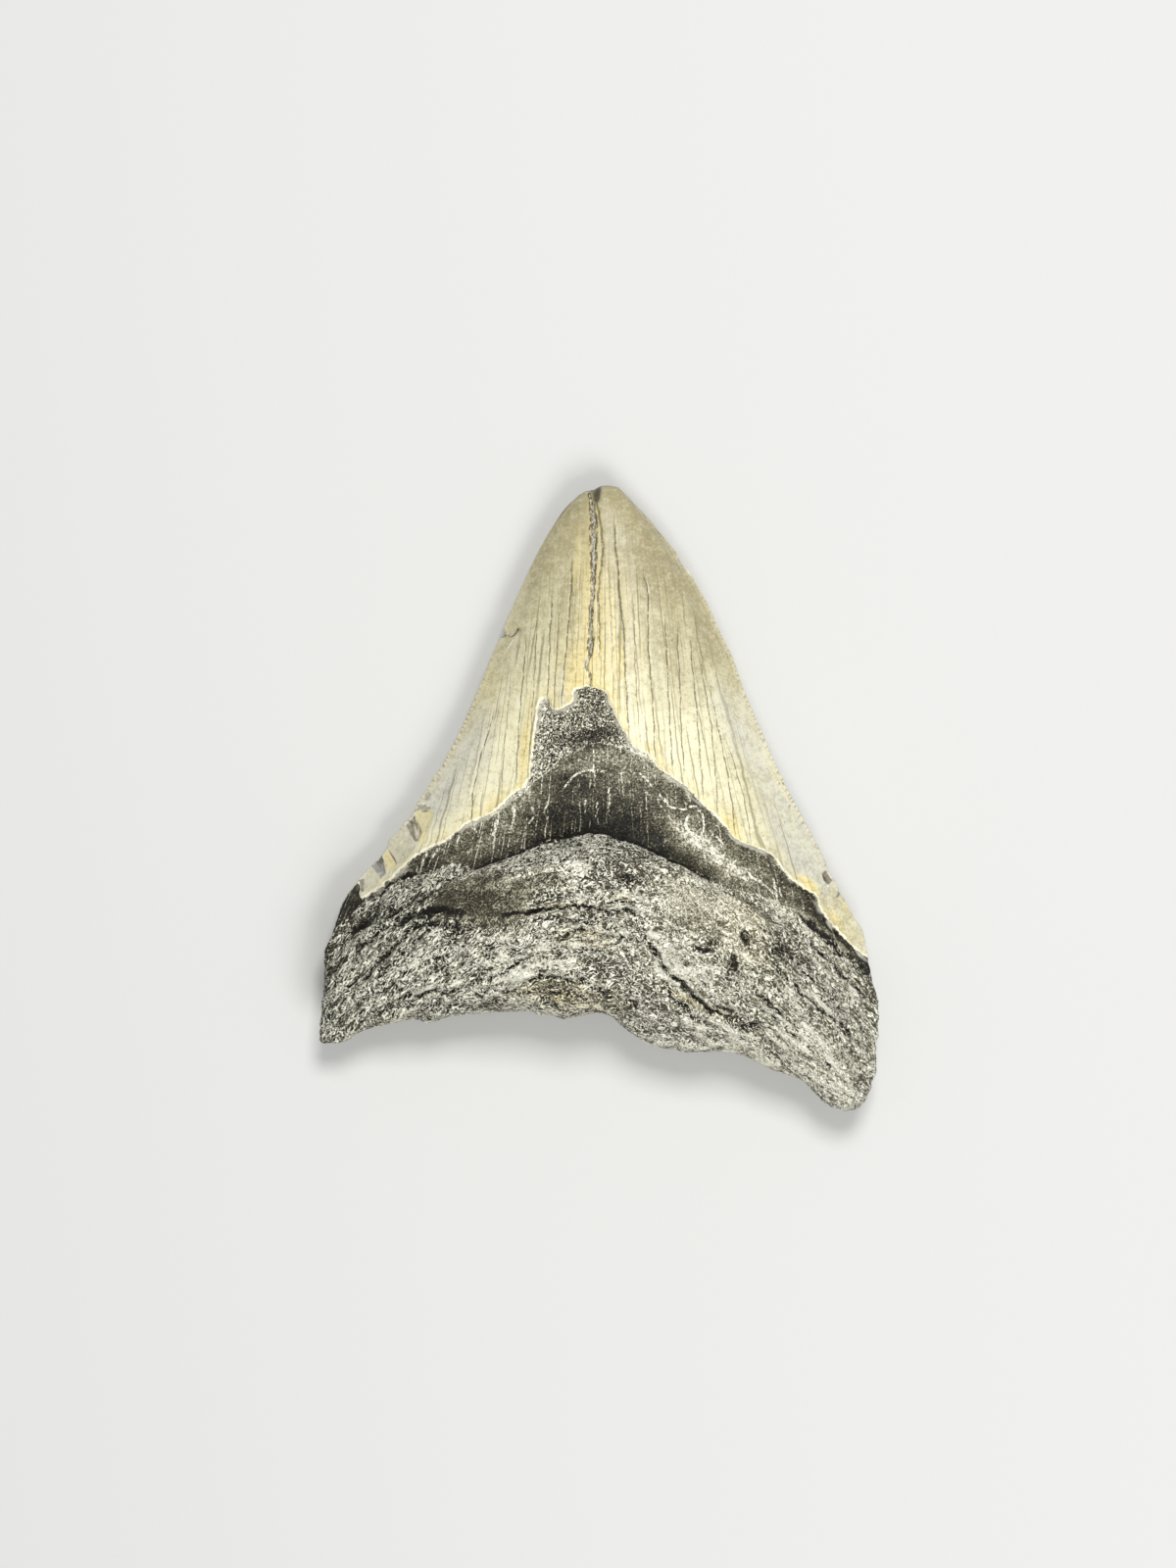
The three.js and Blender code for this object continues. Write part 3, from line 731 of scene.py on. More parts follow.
def labial_height(across, along, x, y):
    """The face that the tooth lies on."""
    full = LABIAL_FLATNESS * fullness(across, along, LABIAL_POWER, LABIAL_FULLNESS)
    lift = TIP_LIFT * smooth(y, 0, TIP_Y)
    from_middle = np.abs(2 * across - 1)
    sides = LABIAL_SIDE_RISE * from_middle**2 * smooth(y, SIDE_RISE_START_Y, SIDE_RISE_FULL_Y)
    hollow = HOLLOW_HEIGHT * bump_at(x, 0, HOLLOW_HALF_WIDTH) * bump_at(y, HOLLOW_Y, HOLLOW_HALF_LENGTH)
    return mix(edge_height(along), lift + sides + hollow, np.clip(full, 0, 1))


def serration_strength(y, stretches):
    places, strengths = zip(*stretches)
    return np.interp(y, places, strengths)


def serrated_share(x, y):
    left = serration_strength(y, LEFT_SERRATIONS)
    return np.where(x < 0, left, serration_strength(y, RIGHT_SERRATIONS))


def serrations(across, along, x, y, width):
    """How deep each point lies in the notches between the serrations, from 0 to 1."""
    total = np.zeros(x.shape)
    sides = [(across, LEFT_SIDE, LEFT_SERRATIONS), (1 - across, RIGHT_SIDE, RIGHT_SERRATIONS)]
    for share, side, stretches in sides:
        travelled = along * length_of(smooth_line(side))
        uneven = 0.25 * np.sin(travelled * 0.9) + 0.12 * np.sin(travelled * 2.3)
        bead = np.abs(np.sin(math.pi * (travelled + uneven) / SERRATION_PITCH)) ** BEAD_SQUARENESS
        reach = bump_at(share * width * EDGE_LEAN, 0, SERRATION_REACH)
        total += (1 - bead) * reach * serration_strength(y, stretches)
    return total


# The skin of the tooth

def add_sheet(skin, steps_across, depth):
    """A unit square of quads. The lingual sheet lies at depth 0 and the labial one at depth -1."""
    place = Matrix.Translation((0, 0, depth))
    bmesh.ops.create_grid(
        skin, x_segments=steps_across, y_segments=STEPS_ALONG, size=0.5, matrix=place)


def split_edges(skin, wanted, cuts):
    """Cuts each edge whose two ends are wanted together, and fills the faces beside it with a grid."""
    chosen = [edge for edge in skin.edges if wanted(*(vert.co for vert in edge.verts))]
    bmesh.ops.subdivide_edges(skin, edges=chosen, cuts=cuts, use_grid_fill=True)


def unit_skin():
    """Both sheets, with finer rows along the cutting edges for the serrations."""
    skin = bmesh.new()
    add_sheet(skin, STEPS_ACROSS, 0)
    add_sheet(skin, LABIAL_STEPS_ACROSS, -1)
    crown_start = SERRATION_START ** (1 / ROW_CROWDING) - 0.5
    almost = 1e-5

    def labial_end(start, end):
        return start.z < -0.5 and min(abs(start.y), abs(end.y)) > 0.5 - almost

    def crown_side(start, end):
        lengthwise = abs(start.x - end.x) < almost
        side_strip = 0.5 - (SERRATED_COLUMNS + 0.5) / STEPS_ACROSS
        return lengthwise and min(start.y, end.y) > crown_start and abs(start.x) > side_strip

    split_edges(skin, labial_end, STEPS_ACROSS // LABIAL_STEPS_ACROSS - 1)
    split_edges(skin, crown_side, SERRATION_CUTS)
    return skin


def crowd_columns(share):
    """Draws the columns together towards both sides."""
    return 0.5 * share + 0.5 * (0.5 - 0.5 * np.cos(math.pi * share))


def read_places(skin):
    return np.array([vert.co[:] for vert in skin.verts])


def shaped_skin():
    """The tooth without its fine relief, welded into one closed skin, and each vertex's own shares."""
    skin = unit_skin()
    square = read_places(skin)
    lingual = square[:, 2] > -0.5
    across = crowd_columns(np.clip(square[:, 0] + 0.5, 0, 1))
    along = np.clip(square[:, 1] + 0.5, 0, 1) ** ROW_CROWDING
    x, y, width = inside_outline(across, along)
    z = np.where(lingual, lingual_height(across, along, x, y), labial_height(across, along, x, y))
    notch = serrations(across, along, x, y, width)
    x = x - np.sign(across - 0.5) * SERRATION_DEPTH * notch
    shares = {"across": across, "along": along, "lingual": lingual, "notch_depth": notch}
    layers = {name: skin.verts.layers.float.new(name) for name in shares}
    for index, vert in enumerate(skin.verts):
        vert.co = (MM * x[index], MM * y[index], MM * z[index])
        for name, layer in layers.items():
            vert[layer] = shares[name][index]
    bmesh.ops.remove_doubles(skin, verts=skin.verts, dist=WELD_DISTANCE * MM)
    bmesh.ops.recalc_face_normals(skin, faces=skin.faces)
    skin.normal_update()
    for name in shares:
        layer = skin.verts.layers.float[name]
        shares[name] = np.array([vert[layer] for vert in skin.verts])
    return skin, shares


# Relief, and the facts that colour it

def crack_fields(x, y):
    """Distance to the nearest long crack, and how dark that crack is there.

    The distance changes sign from crack to crack, so that it passes evenly through zero at each one.
    """
    wander = 0.05 * np.sin(y * 1.3) + 0.03 * np.sin(y * 2.9 + 1.0)
    nearest = np.full(x.shape, FAR)
    strength = np.zeros(x.shape)
    sign = np.ones(x.shape)
    for index, (corners, darkness) in enumerate(LONG_CRACKS):
        line = np.array(corners[::-1])
        low = line[0, 1]
        high = line[-1, 1]
        offset = x - x_on(line, y) - wander * (1 if index % 2 else -1)
        closer = np.abs(offset) < np.abs(nearest)
        fade = smooth(y, low - 1.5, low + 1.5) * (1 - smooth(y, high - 5, high + 1))
        nearest = np.where(closer, offset, nearest)
        strength = np.where(closer, darkness * fade, strength)
        sign = np.where(offset > 0, -sign, sign)
    return np.abs(nearest) * sign, strength


def filled_crack_fields(x, y):
    """Distance to the filled crack, its half width, the branch's distance, and its strength.

    Both distances are negative on the left.
    """
    wander = 0.06 * np.sin(y * 2.1) + 0.05 * np.sin(y * 4.7)
    offset = x - x_on(smooth_line(FILLED_CRACK[::-1], 6), y) - wander
    heights, widths = zip(*FILLED_CRACK_HALF_WIDTHS[::-1])
    half_width = np.interp(y, heights, widths) * smooth(y, 15.6, 17.2)
    branch = x - x_on(smooth_line(BRANCH_CRACK[::-1], 6), y) + wander
    branch_strength = smooth(y, 20, 24) * (1 - smooth(y, 44.5, 46))
    return offset, half_width, branch, branch_strength


def crease_fields(x, y):
    """Relief of the root's creases and pits, and the facts that draw them.

    These are the nearest crease's distance in its half widths, its darkness, and the pits' darkness.
    The finish paints these darknesses as shade.
    """
    relief = np.zeros(x.shape)
    nearest = np.full(x.shape, FAR_FROM_CREASE)
    strength = np.zeros(x.shape)
    pit = np.zeros(x.shape)
    flat = np.zeros(x.shape)
    shake_x = 0.5 * rough(x, y, flat, (1.7, 1.7, 1), octaves=3, seed=5)
    shake_y = 0.5 * rough(x, y, flat, (1.7, 1.7, 1), octaves=3, seed=6)
    broken = np.clip(0.95 + 0.6 * rough(x, y, flat, (2.2, 2.2, 1), seed=7), 0.3, 1)
    for corners, half_width, depth, darkness in CREASES:
        away, share = distance_and_share(x + shake_x, y + shake_y, smooth_line(corners, 6))
        present = taper(share, 0.02) * broken
        relief -= depth * present * bump_at(away, 0, half_width)
        relief += 0.35 * depth * present * bump_at(away, 2.4 * half_width, 1.2 * half_width)
        closer = away / half_width < nearest
        nearest = np.where(closer, away / half_width, nearest)
        strength = np.where(closer, darkness * present, strength)
    for middle_x, middle_y, half_width, half_length, depth in PITS:
        away = np.hypot((x + shake_x - middle_x) / half_width, (y + shake_y - middle_y) / half_length)
        relief -= depth * np.exp(-(away**2))
        pit = np.maximum(pit, min(1, 1.1 * depth) * np.exp(-(away**2) * 1.4))
    return relief, nearest, strength, pit


def groove_fields(x, y):
    """How far above the neck groove each point is, and how strong the groove is there."""
    line = smooth_line(NECK_GROOVE, 6)
    shake = 0.1 * rough(x, y, np.zeros(x.shape), (1.7, 1.7, 1), octaves=3, seed=6)
    share = np.clip((x - line[0, 0]) / (line[-1, 0] - line[0, 0]), 0, 1)
    return y - y_on(line, x) + shake, np.sin(math.pi * share) ** 0.35


def chip_fields(x, y):
    """Relief and extent of the chips: scoops with a crisp rim and faint rings."""
    relief = np.zeros(x.shape)
    extent = np.zeros(x.shape)
    shake = 0.12 * rough(x, y, np.zeros(x.shape), (0.9, 0.9, 1), seed=8)
    for *oval, depth in CHIPS:
        away = np.hypot(*in_oval(x, y, *oval)) + shake
        scoop = np.sqrt(np.clip(1 - away**2, 0, 1))
        rings = 0.06 * np.sin(away * 13) * scoop
        relief -= depth * scoop + rings
        extent = np.maximum(extent, smooth(1 - away, 0.0, 0.12))
    return relief, extent


def facet_depth(x, y, corners, lowest):
    """How far inside a facet each place is. Its corners run anticlockwise and all turn the same way."""
    depth = None
    for (x0, y0), (x1, y1) in zip(corners, corners[1:] + corners[:1]):
        length = math.hypot(x1 - x0, y1 - y0)
        slope_x = (y0 - y1) / length
        slope_y = (x1 - x0) / length
        away = x * slope_x + y * slope_y - (x0 * slope_x + y0 * slope_y)
        depth = away if depth is None else lowest(depth, away)
    return depth


def facet_relief(x, y):
    relief = np.zeros(x.shape)
    for corners, _, depth in FACETS:
        relief -= depth * smooth(facet_depth(x, y, corners, np.minimum), 0, FACET_EDGE)
    return relief


def root_relief(x, y, z):
    """Relief of the bare root, with lumps, furrows along its fibres and knobs, and how hollow it is.
    The finish paints shade in the hollows and light on the ridges, partly also dirt and wear.
    """
    level = along_fibres(x, y)
    level = level + 1.1 * rough(x, level, z, (7, 7, 6), seed=18)
    lumps = rough(x, level, z, (8.5, 3.4, 7), octaves=3, seed=11)
    fibres = rough(x, level, z, (4.6, 1.25, 4), octaves=3, seed=12)
    knobs = rough(x, level, z, (1.5, 1.0, 1.6), seed=13)
    fine = rough(x, level, z, (0.8, 0.65, 1.0), seed=14)
    furrowed = np.clip(0.55 + 1.3 * rough(x, level, z, (6, 4, 5), seed=19), 0, 1)
    furrow = bump_at(fibres, 0, FURROW_WIDTH) * furrowed
    relief = ROOT_LUMPS * lumps + ROOT_FIBRES * fibres + ROOT_KNOBS * knobs + ROOT_GRAIN * fine
    hollow = -(0.40 * lumps + 0.80 * fibres + 0.45 * knobs + 0.25 * fine) + 0.6 * furrow
    return relief - FURROW_DEPTH * furrow, hollow


def edge_marks(x, y):
    """Short dark cracks, above 0, and light lips and scratches, below 0, among them a painted highlight
    along the tip's right edge.
    """
    total = np.zeros(x.shape)
    for corners, half_width, darkness in EDGE_MARKS:
        away, share = distance_and_share(x, y, smooth_line(corners, 6))
        total += darkness * taper(share, 0.06) * bump_at(away, 0, half_width)
    return total


def band_veins(x, y):
    nearest = np.full(x.shape, FAR)
    sway = 0.2 * rough(x, y, np.zeros(x.shape), (0.8, 0.8, 1), seed=9)
    for corners in BAND_VEINS:
        nearest = np.minimum(nearest, distance_to(x + sway, y + sway, smooth_line(corners, 5)))
    return bump_at(nearest, 0, BAND_VEIN_HALF_WIDTH)


def lingual_fields(x, y, z, across, width, notch):
    """Relief of the lingual face and what the finish needs to know at each point."""
    flat = np.zeros(x.shape)
    on_crown = 1 - root_share(x, y)
    fray = FRAY * rough(x, y, flat, (0.9, 0.9, 1), octaves=3, seed=1)
    enamel = above(x, y, smooth_line(ENAMEL_LINE, 4)) + fray
    patch = above(x, y, smooth_line(PATCH_LINE, 5)) + 0.7 * fray
    band = above(x, y, smooth_line(BAND_LINE, 4)) + fray
    on_enamel = smooth(enamel, -0.12, 0.14)

    relief = -ENAMEL_STEP * (1 - on_enamel) * on_crown
    relief += ENAMEL_LIP * bump_at(enamel, 0.25, 0.2) * on_crown
    in_patch = smooth(patch, -0.1, 0.2) * (1 - on_enamel)
    relief -= PATCH_STEP * in_patch
    relief += PATCH_GRAIN * in_patch * rough(x, y, z, (0.6, 0.8, 1), seed=3)

    rise, hollow = root_relief(x, y, z)
    quiet = np.clip(patches(x, y, QUIET_PATCHES), 0, 1)
    near_groove = 0.6 * smooth(y, -9, -5) * (1 - smooth(np.abs(x), 14, 22))
    on_root = smooth(-band, -0.4, 1.2)
    relief += (rise - ROOT_SINK) * on_root * (1 - np.maximum(0.75 * quiet, near_groove))

    creases, crease, crease_strength, pit = crease_fields(x, y)
    groove, groove_strength = groove_fields(x, y)
    creases -= GROOVE_DEPTH * groove_strength * bump_at(groove, 0, GROOVE_WIDTH)
    relief += creases * (1 - on_enamel)

    crack, crack_strength = crack_fields(x, y)
    relief -= CRACK_DEPTH * crack_strength * bump_at(crack, 0, 0.16) * on_enamel
    seam, seam_width, branch, branch_strength = filled_crack_fields(x, y)
    off_seam = smooth(np.abs(seam), 0.7 * seam_width, 1.3 * seam_width + 0.02)
    in_seam = np.where(seam_width > 0.02, 1 - off_seam, 0)
    filler = FILLER_GRAIN * rough(x, y, z, (0.35, 0.8, 1), seed=15)
    relief += (filler - FILLER_DEPTH) * in_seam * on_enamel
    relief -= BRANCH_DEPTH * branch_strength * bump_at(branch, 0, 0.15) * on_enamel

    waves = rough(x * np.exp(fan_growth(y)), y, flat, (1.4, 26, 1), seed=16)
    relief += RIPPLES * waves * on_enamel
    relief += SWELLS * rough(x, y, flat, (7, 11, 1), seed=17) * on_crown

    chips, chip_extent = chip_fields(x, y)
    relief += (chips + facet_relief(x, y)) * on_enamel
    relief -= SERRATION_RELIEF * notch * on_enamel
    mark = edge_marks(x, y)
    relief -= MARK_DEPTH * np.clip(mark, 0, 1)

    return relief, {
        "enamel": enamel,
        "patch": np.minimum(patch, -enamel),
        "band": np.minimum(band, -enamel),
        "crack": crack,
        "crack_strength": crack_strength,
        "seam": seam,
        "seam_width": seam_width,
        "branch": branch,
        "branch_strength": branch_strength,
        "crease": crease,
        "crease_strength": crease_strength,
        "groove": groove,
        "groove_strength": groove_strength,
        "pit": pit,
        "pale": patches(x, y, PALE_PATCHES),
        "ochre": patches(x, y, OCHRE_PATCHES),
        # Painted shade in the hollows and painted light on the ridges, partly also dirt and wear
        "hollow": np.clip(hollow * (1 - 0.6 * quiet), -1, 1) * on_root,
        "quiet": quiet * on_root,
        "chip": chip_extent,
        "edge": from_cutting_edge(across, width),
        "mark": mark,
        "vein": band_veins(x, y),
        "notch": notch,
        "serrated": serrated_share(x, y),
    }


def labial_fields(x, y, z, across, width, notch):
    """Relief and facts of the labial face. It lies on the surface, so its relief only goes inward."""
    flat = np.zeros(x.shape)
    fray = LABIAL_FRAY * rough(x, y, flat + 5, (1.1, 1.1, 1), octaves=3, seed=21)
    enamel = above(x, y, smooth_line(LABIAL_ENAMEL_LINE, 4)) + fray
    bare = 1 - smooth(enamel, -0.15, 0.15)
    level = along_fibres(x, y)
    lumps = rough(x, level, z, (8, 5, 6), octaves=3, seed=22)
    grain = rough(x, level, z, (1.3, 1.0, 1.2), seed=23)
    relief = -bare * (LABIAL_STEP + LABIAL_LUMPS * (lumps + 1) + LABIAL_GRAIN * (grain + 1))
    waves = rough(x * np.exp(fan_growth(y)), y, flat + 9, (1.8, 26, 1), seed=24)
    relief -= LABIAL_RIPPLES * (waves + 1) * (1 - bare)
    pits = flat
    for index in range(LABIAL_PITS):
        place_x = mix(-20, 20, math.modf(0.618 * index)[0])
        place_y = mix(-15, -24, math.modf(0.377 * index + 0.2)[0])
        size = mix(0.35, 0.70, math.modf(0.717 * index)[0])
        pits = np.maximum(pits, bump_at(np.hypot(x - place_x, y - place_y), 0, size))
    relief -= LABIAL_PIT_DEPTH * pits * bare
    return relief, {
        "enamel": enamel,
        "pit": pits,
        "pale": 0.35 * rough(x, level, z, (9, 5, 6), octaves=3, seed=25),
        "ochre": 0.35 + 0.4 * rough(x, y, z, (8, 8, 6), seed=26),
        # Painted shade in the hollows of the lumps, partly also dirt
        "hollow": np.clip(-0.6 * lumps, -1, 1) * bare,
        "quiet": flat + 0.3,
        "edge": from_cutting_edge(across, width),
        "notch": notch,
        "serrated": 0.6 * serrated_share(x, y),
    }


def write_fact(mesh, name, values):
    attribute = mesh.attributes.new(name, "FLOAT", "POINT")
    attribute.data.foreach_set("value", np.asarray(values, np.float32))


def inside_solid(places):
    """Keeps every vertex within the solid's box."""
    low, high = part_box("tooth")
    return np.clip(places, np.array(low[:]), np.array(high[:]))


def tooth_piece():
    skin, shares = shaped_skin()
    places = read_places(skin)
    normals = np.array([vert.normal[:] for vert in skin.verts])
    x, y, z = (places / MM).T
    across = shares["across"]
    _, _, width = inside_outline(across, shares["along"])
    lingual = shares["lingual"] > 0.5
    known = (x, y, z, across, width, shares["notch_depth"])
    relief = np.zeros(x.shape)
    facts = {name: np.full(x.shape, absent) for name, absent in FACTS.items()}
    for chosen, fields in ((lingual, lingual_fields), (~lingual, labial_fields)):
        relief[chosen], found = fields(*(values[chosen] for values in known))
        for name, values in found.items():
            facts[name][chosen] = values
    facts["labial"] = 1 - shares["lingual"]
    from_edge = np.minimum(np.minimum(across, 1 - across) * width, shares["along"] * TOOTH_LENGTH)
    relief *= mix(EDGE_RELIEF, 1, smooth(from_edge, 0, EDGE_RELIEF_REACH))
    places = inside_solid(places + normals * (relief * MM)[:, None])
    for vert, place in zip(skin.verts, places):
        vert.co = place
    for face in skin.faces:
        face.smooth = True
    mesh = bpy.data.meshes.new("tooth_skin")
    skin.to_mesh(mesh)
    skin.free()
    for name in shares:
        mesh.attributes.remove(mesh.attributes[name])
    for name, values in facts.items():
        write_fact(mesh, name, values)
    piece = bpy.data.objects.new("tooth_skin", mesh)
    bpy.context.scene.collection.objects.link(piece)
    return piece


# Colours as they look on a screen, from 0 to 255

def srgb(red, green, blue):
    """The same colour as Blender's linear red, green, blue and alpha."""
    def linear(part):
        part = part / 255
        return part / 12.92 if part <= 0.04045 else ((part + 0.055) / 1.055) ** 2.4
    return (linear(red), linear(green), linear(blue), 1.0)


OLIVE = srgb(178, 169, 131)
CREAM = srgb(249, 243, 204)
YELLOW = srgb(245, 226, 156)
GREY_WHITE = srgb(220, 219, 206)
SHEEN_GREY = srgb(203, 202, 187)
DIRT_AND_SHADE = srgb(142, 133, 100)
CLEAN = srgb(252, 248, 224)
BEAD_HIGHLIGHT = srgb(244, 236, 200)
NOTCH_SHADE = srgb(120, 108, 72)
HAIRLINE = srgb(124, 114, 80)
PALE_LINE = srgb(244, 241, 224)
CRACK = srgb(104, 95, 68)
RUST = srgb(222, 198, 130)
CRACK_WALL = srgb(74, 66, 46)
SPECK = srgb(118, 109, 82)
TIP_STAIN = srgb(84, 78, 64)
PALE_FACET = srgb(252, 248, 228)
DARK_FACET = srgb(110, 105, 88)
DARK_MARK = srgb(70, 66, 54)
PALE_MARK = srgb(252, 249, 232)
ENAMEL_RIM_HIGHLIGHT = srgb(250, 246, 222)
LEDGE = srgb(196, 193, 176)
FLOOR = srgb(206, 206, 204)
WHITE = (1, 1, 1, 1)

# Tones from dark to pale, each at its place from 0 to 1
FILLER_TONES = [
    (0.34, srgb(84, 77, 58)), (0.44, srgb(140, 133, 108)), (0.52, srgb(190, 185, 164)),
    (0.64, srgb(226, 223, 208)),
]
CHIP_TONES = [(0.3, srgb(116, 113, 102)), (0.5, srgb(152, 150, 140)), (0.68, srgb(226, 224, 212))]
GREY_TONES = [
    (0.0, srgb(17, 15, 8)), (0.24, srgb(77, 73, 56)), (0.47, srgb(143, 139, 118)),
    (0.70, srgb(208, 204, 183)), (0.92, srgb(254, 252, 234)),
]
STAINED_TONES = [
    (0.0, srgb(26, 22, 12)), (0.3, srgb(98, 88, 58)), (0.6, srgb(178, 164, 116)),
    (1.0, srgb(246, 234, 184)),
]

# Enamel reflects a little less light than the palest colours that it is painted with
ENAMEL_DULLING = 0.86
SPECULAR_LEVEL = 0.3

# Moves a pattern far along, so that the labial face doesn't repeat the lingual one
LABIAL_FAN_SHIFT = 61.0
OFF_THE_TOOTH = 200.0


# Shader maths

class Shade:
    """A socket in a material, so that shader maths reads as arithmetic."""

    def __init__(self, tree, socket=None):
        self.tree = tree
        self.socket = socket

    def node(self, kind, values=None, output=0, stops=(), **settings):
        """Adds a node. Its settings and its ramp's stops come first, then its sockets by their keys."""
        made = self.tree.nodes.new(kind)
        for name, setting in settings.items():
            setattr(made, name, setting)
        for _ in stops[2:]:
            made.color_ramp.elements.new(1.0)
        for index, (place, colour) in enumerate(stops):
            made.color_ramp.elements[index].position = place
            made.color_ramp.elements[index].color = colour
        for name, value in (values or {}).items():
            if isinstance(value, Shade):
                self.tree.links.new(value.socket, made.inputs[name])
            else:
                made.inputs[name].default_value = value
        return Shade(self.tree, made.outputs[output] if made.outputs else None)

    def output(self, which):
        """Another output of the same node."""
        return Shade(self.tree, self.socket.node.outputs[which])

    def math(self, operation, first, second=0.0, clamp=False):
        return self.node("ShaderNodeMath", {0: first, 1: second}, operation=operation, use_clamp=clamp)

    def __add__(self, other):
        return self.math("ADD", self, other)

    __radd__ = __add__

    def __sub__(self, other):
        return self.math("SUBTRACT", self, other)

    def __rsub__(self, other):
        return self.math("SUBTRACT", other, self)

    def __mul__(self, other):
        return self.math("MULTIPLY", self, other)

    __rmul__ = __mul__

    def __truediv__(self, other):
        return self.math("DIVIDE", self, other)

    def __rtruediv__(self, other):
        return self.math("DIVIDE", other, self)

    def __abs__(self):
        return self.math("ABSOLUTE", self)

    def __neg__(self):
        return self.math("MULTIPLY", self, -1.0)

    def exp(self):
        return self.math("EXPONENT", self)

    def clamped(self):
        return self.math("ADD", self, 0.0, clamp=True)

    def remainder(self):
        """What is left over a whole number."""
        return self.math("FRACT", self)

    def whole(self):
        return self.math("FLOOR", self)

    def at_least(self, other):
        return self.math("MAXIMUM", self, other)

    def at_most(self, other):
        return self.math("MINIMUM", self, other)

    def rise(self, low, high, bottom=0.0, top=1.0):
        """Bottom below low, top above high, and an even curve between them. Low may be the higher."""
        values = {"Value": self, "From Min": low, "From Max": high, "To Min": bottom, "To Max": top}
        return self.node("ShaderNodeMapRange", values, interpolation_type="SMOOTHSTEP")

    def tint(self, start, end):
        """The colour that is this share of the way from start to end."""
        values = {0: self, 6: start, 7: end}
        return self.node("ShaderNodeMix", values, 2, data_type="RGBA", clamp_factor=True)

    def blend(self, start, end):
        """The number that is this share of the way from start to end."""
        return self.node("ShaderNodeMix", {0: self, 2: start, 3: end}, data_type="FLOAT")

    def scaled(self, share):
        """A colour or a vector, with every part of it multiplied."""
        return self.node("ShaderNodeVectorMath", {0: self, "Scale": share}, operation="SCALE")

    def ramp(self, stops):
        return self.node("ShaderNodeValToRGB", {0: self}, stops=stops)


class ToothFace:
    """What every finish of the tooth reads: places in millimetres, the facts of the mesh, and noise."""

    def __init__(self, tree):
        self.start = Shade(tree)
        self.place = self.start.node("ShaderNodeTexCoord", output="Object").scaled(1 / MM)
        self.x = self.start.node("ShaderNodeSeparateXYZ", {0: self.place})
        self.y = self.x.output(1)
        self.z = self.x.output(2)
        self.labial = self.fact("labial")
        self.fan = self.x * fan_growth(self.y).exp() + self.labial * LABIAL_FAN_SHIFT
        self.level = along_fibres(self.x, self.y)

    def fact(self, name):
        return self.start.node("ShaderNodeAttribute", output="Fac", attribute_name=name)

    def point(self, x, y, z=0.0):
        return self.start.node("ShaderNodeCombineXYZ", {0: x, 1: y, 2: z})

    def noise(self, point, scale=1.0, detail=2.0, roughness=0.5, distortion=0.0):
        values = {
            "Vector": point, "Scale": scale, "Detail": detail, "Roughness": roughness,
            "Distortion": distortion,
        }
        return self.start.node("ShaderNodeTexNoise", values)

    def swing(self, *noise):
        """Noise about zero, from -0.5 to 0.5."""
        return self.noise(*noise) - 0.5


# The enamel's finish

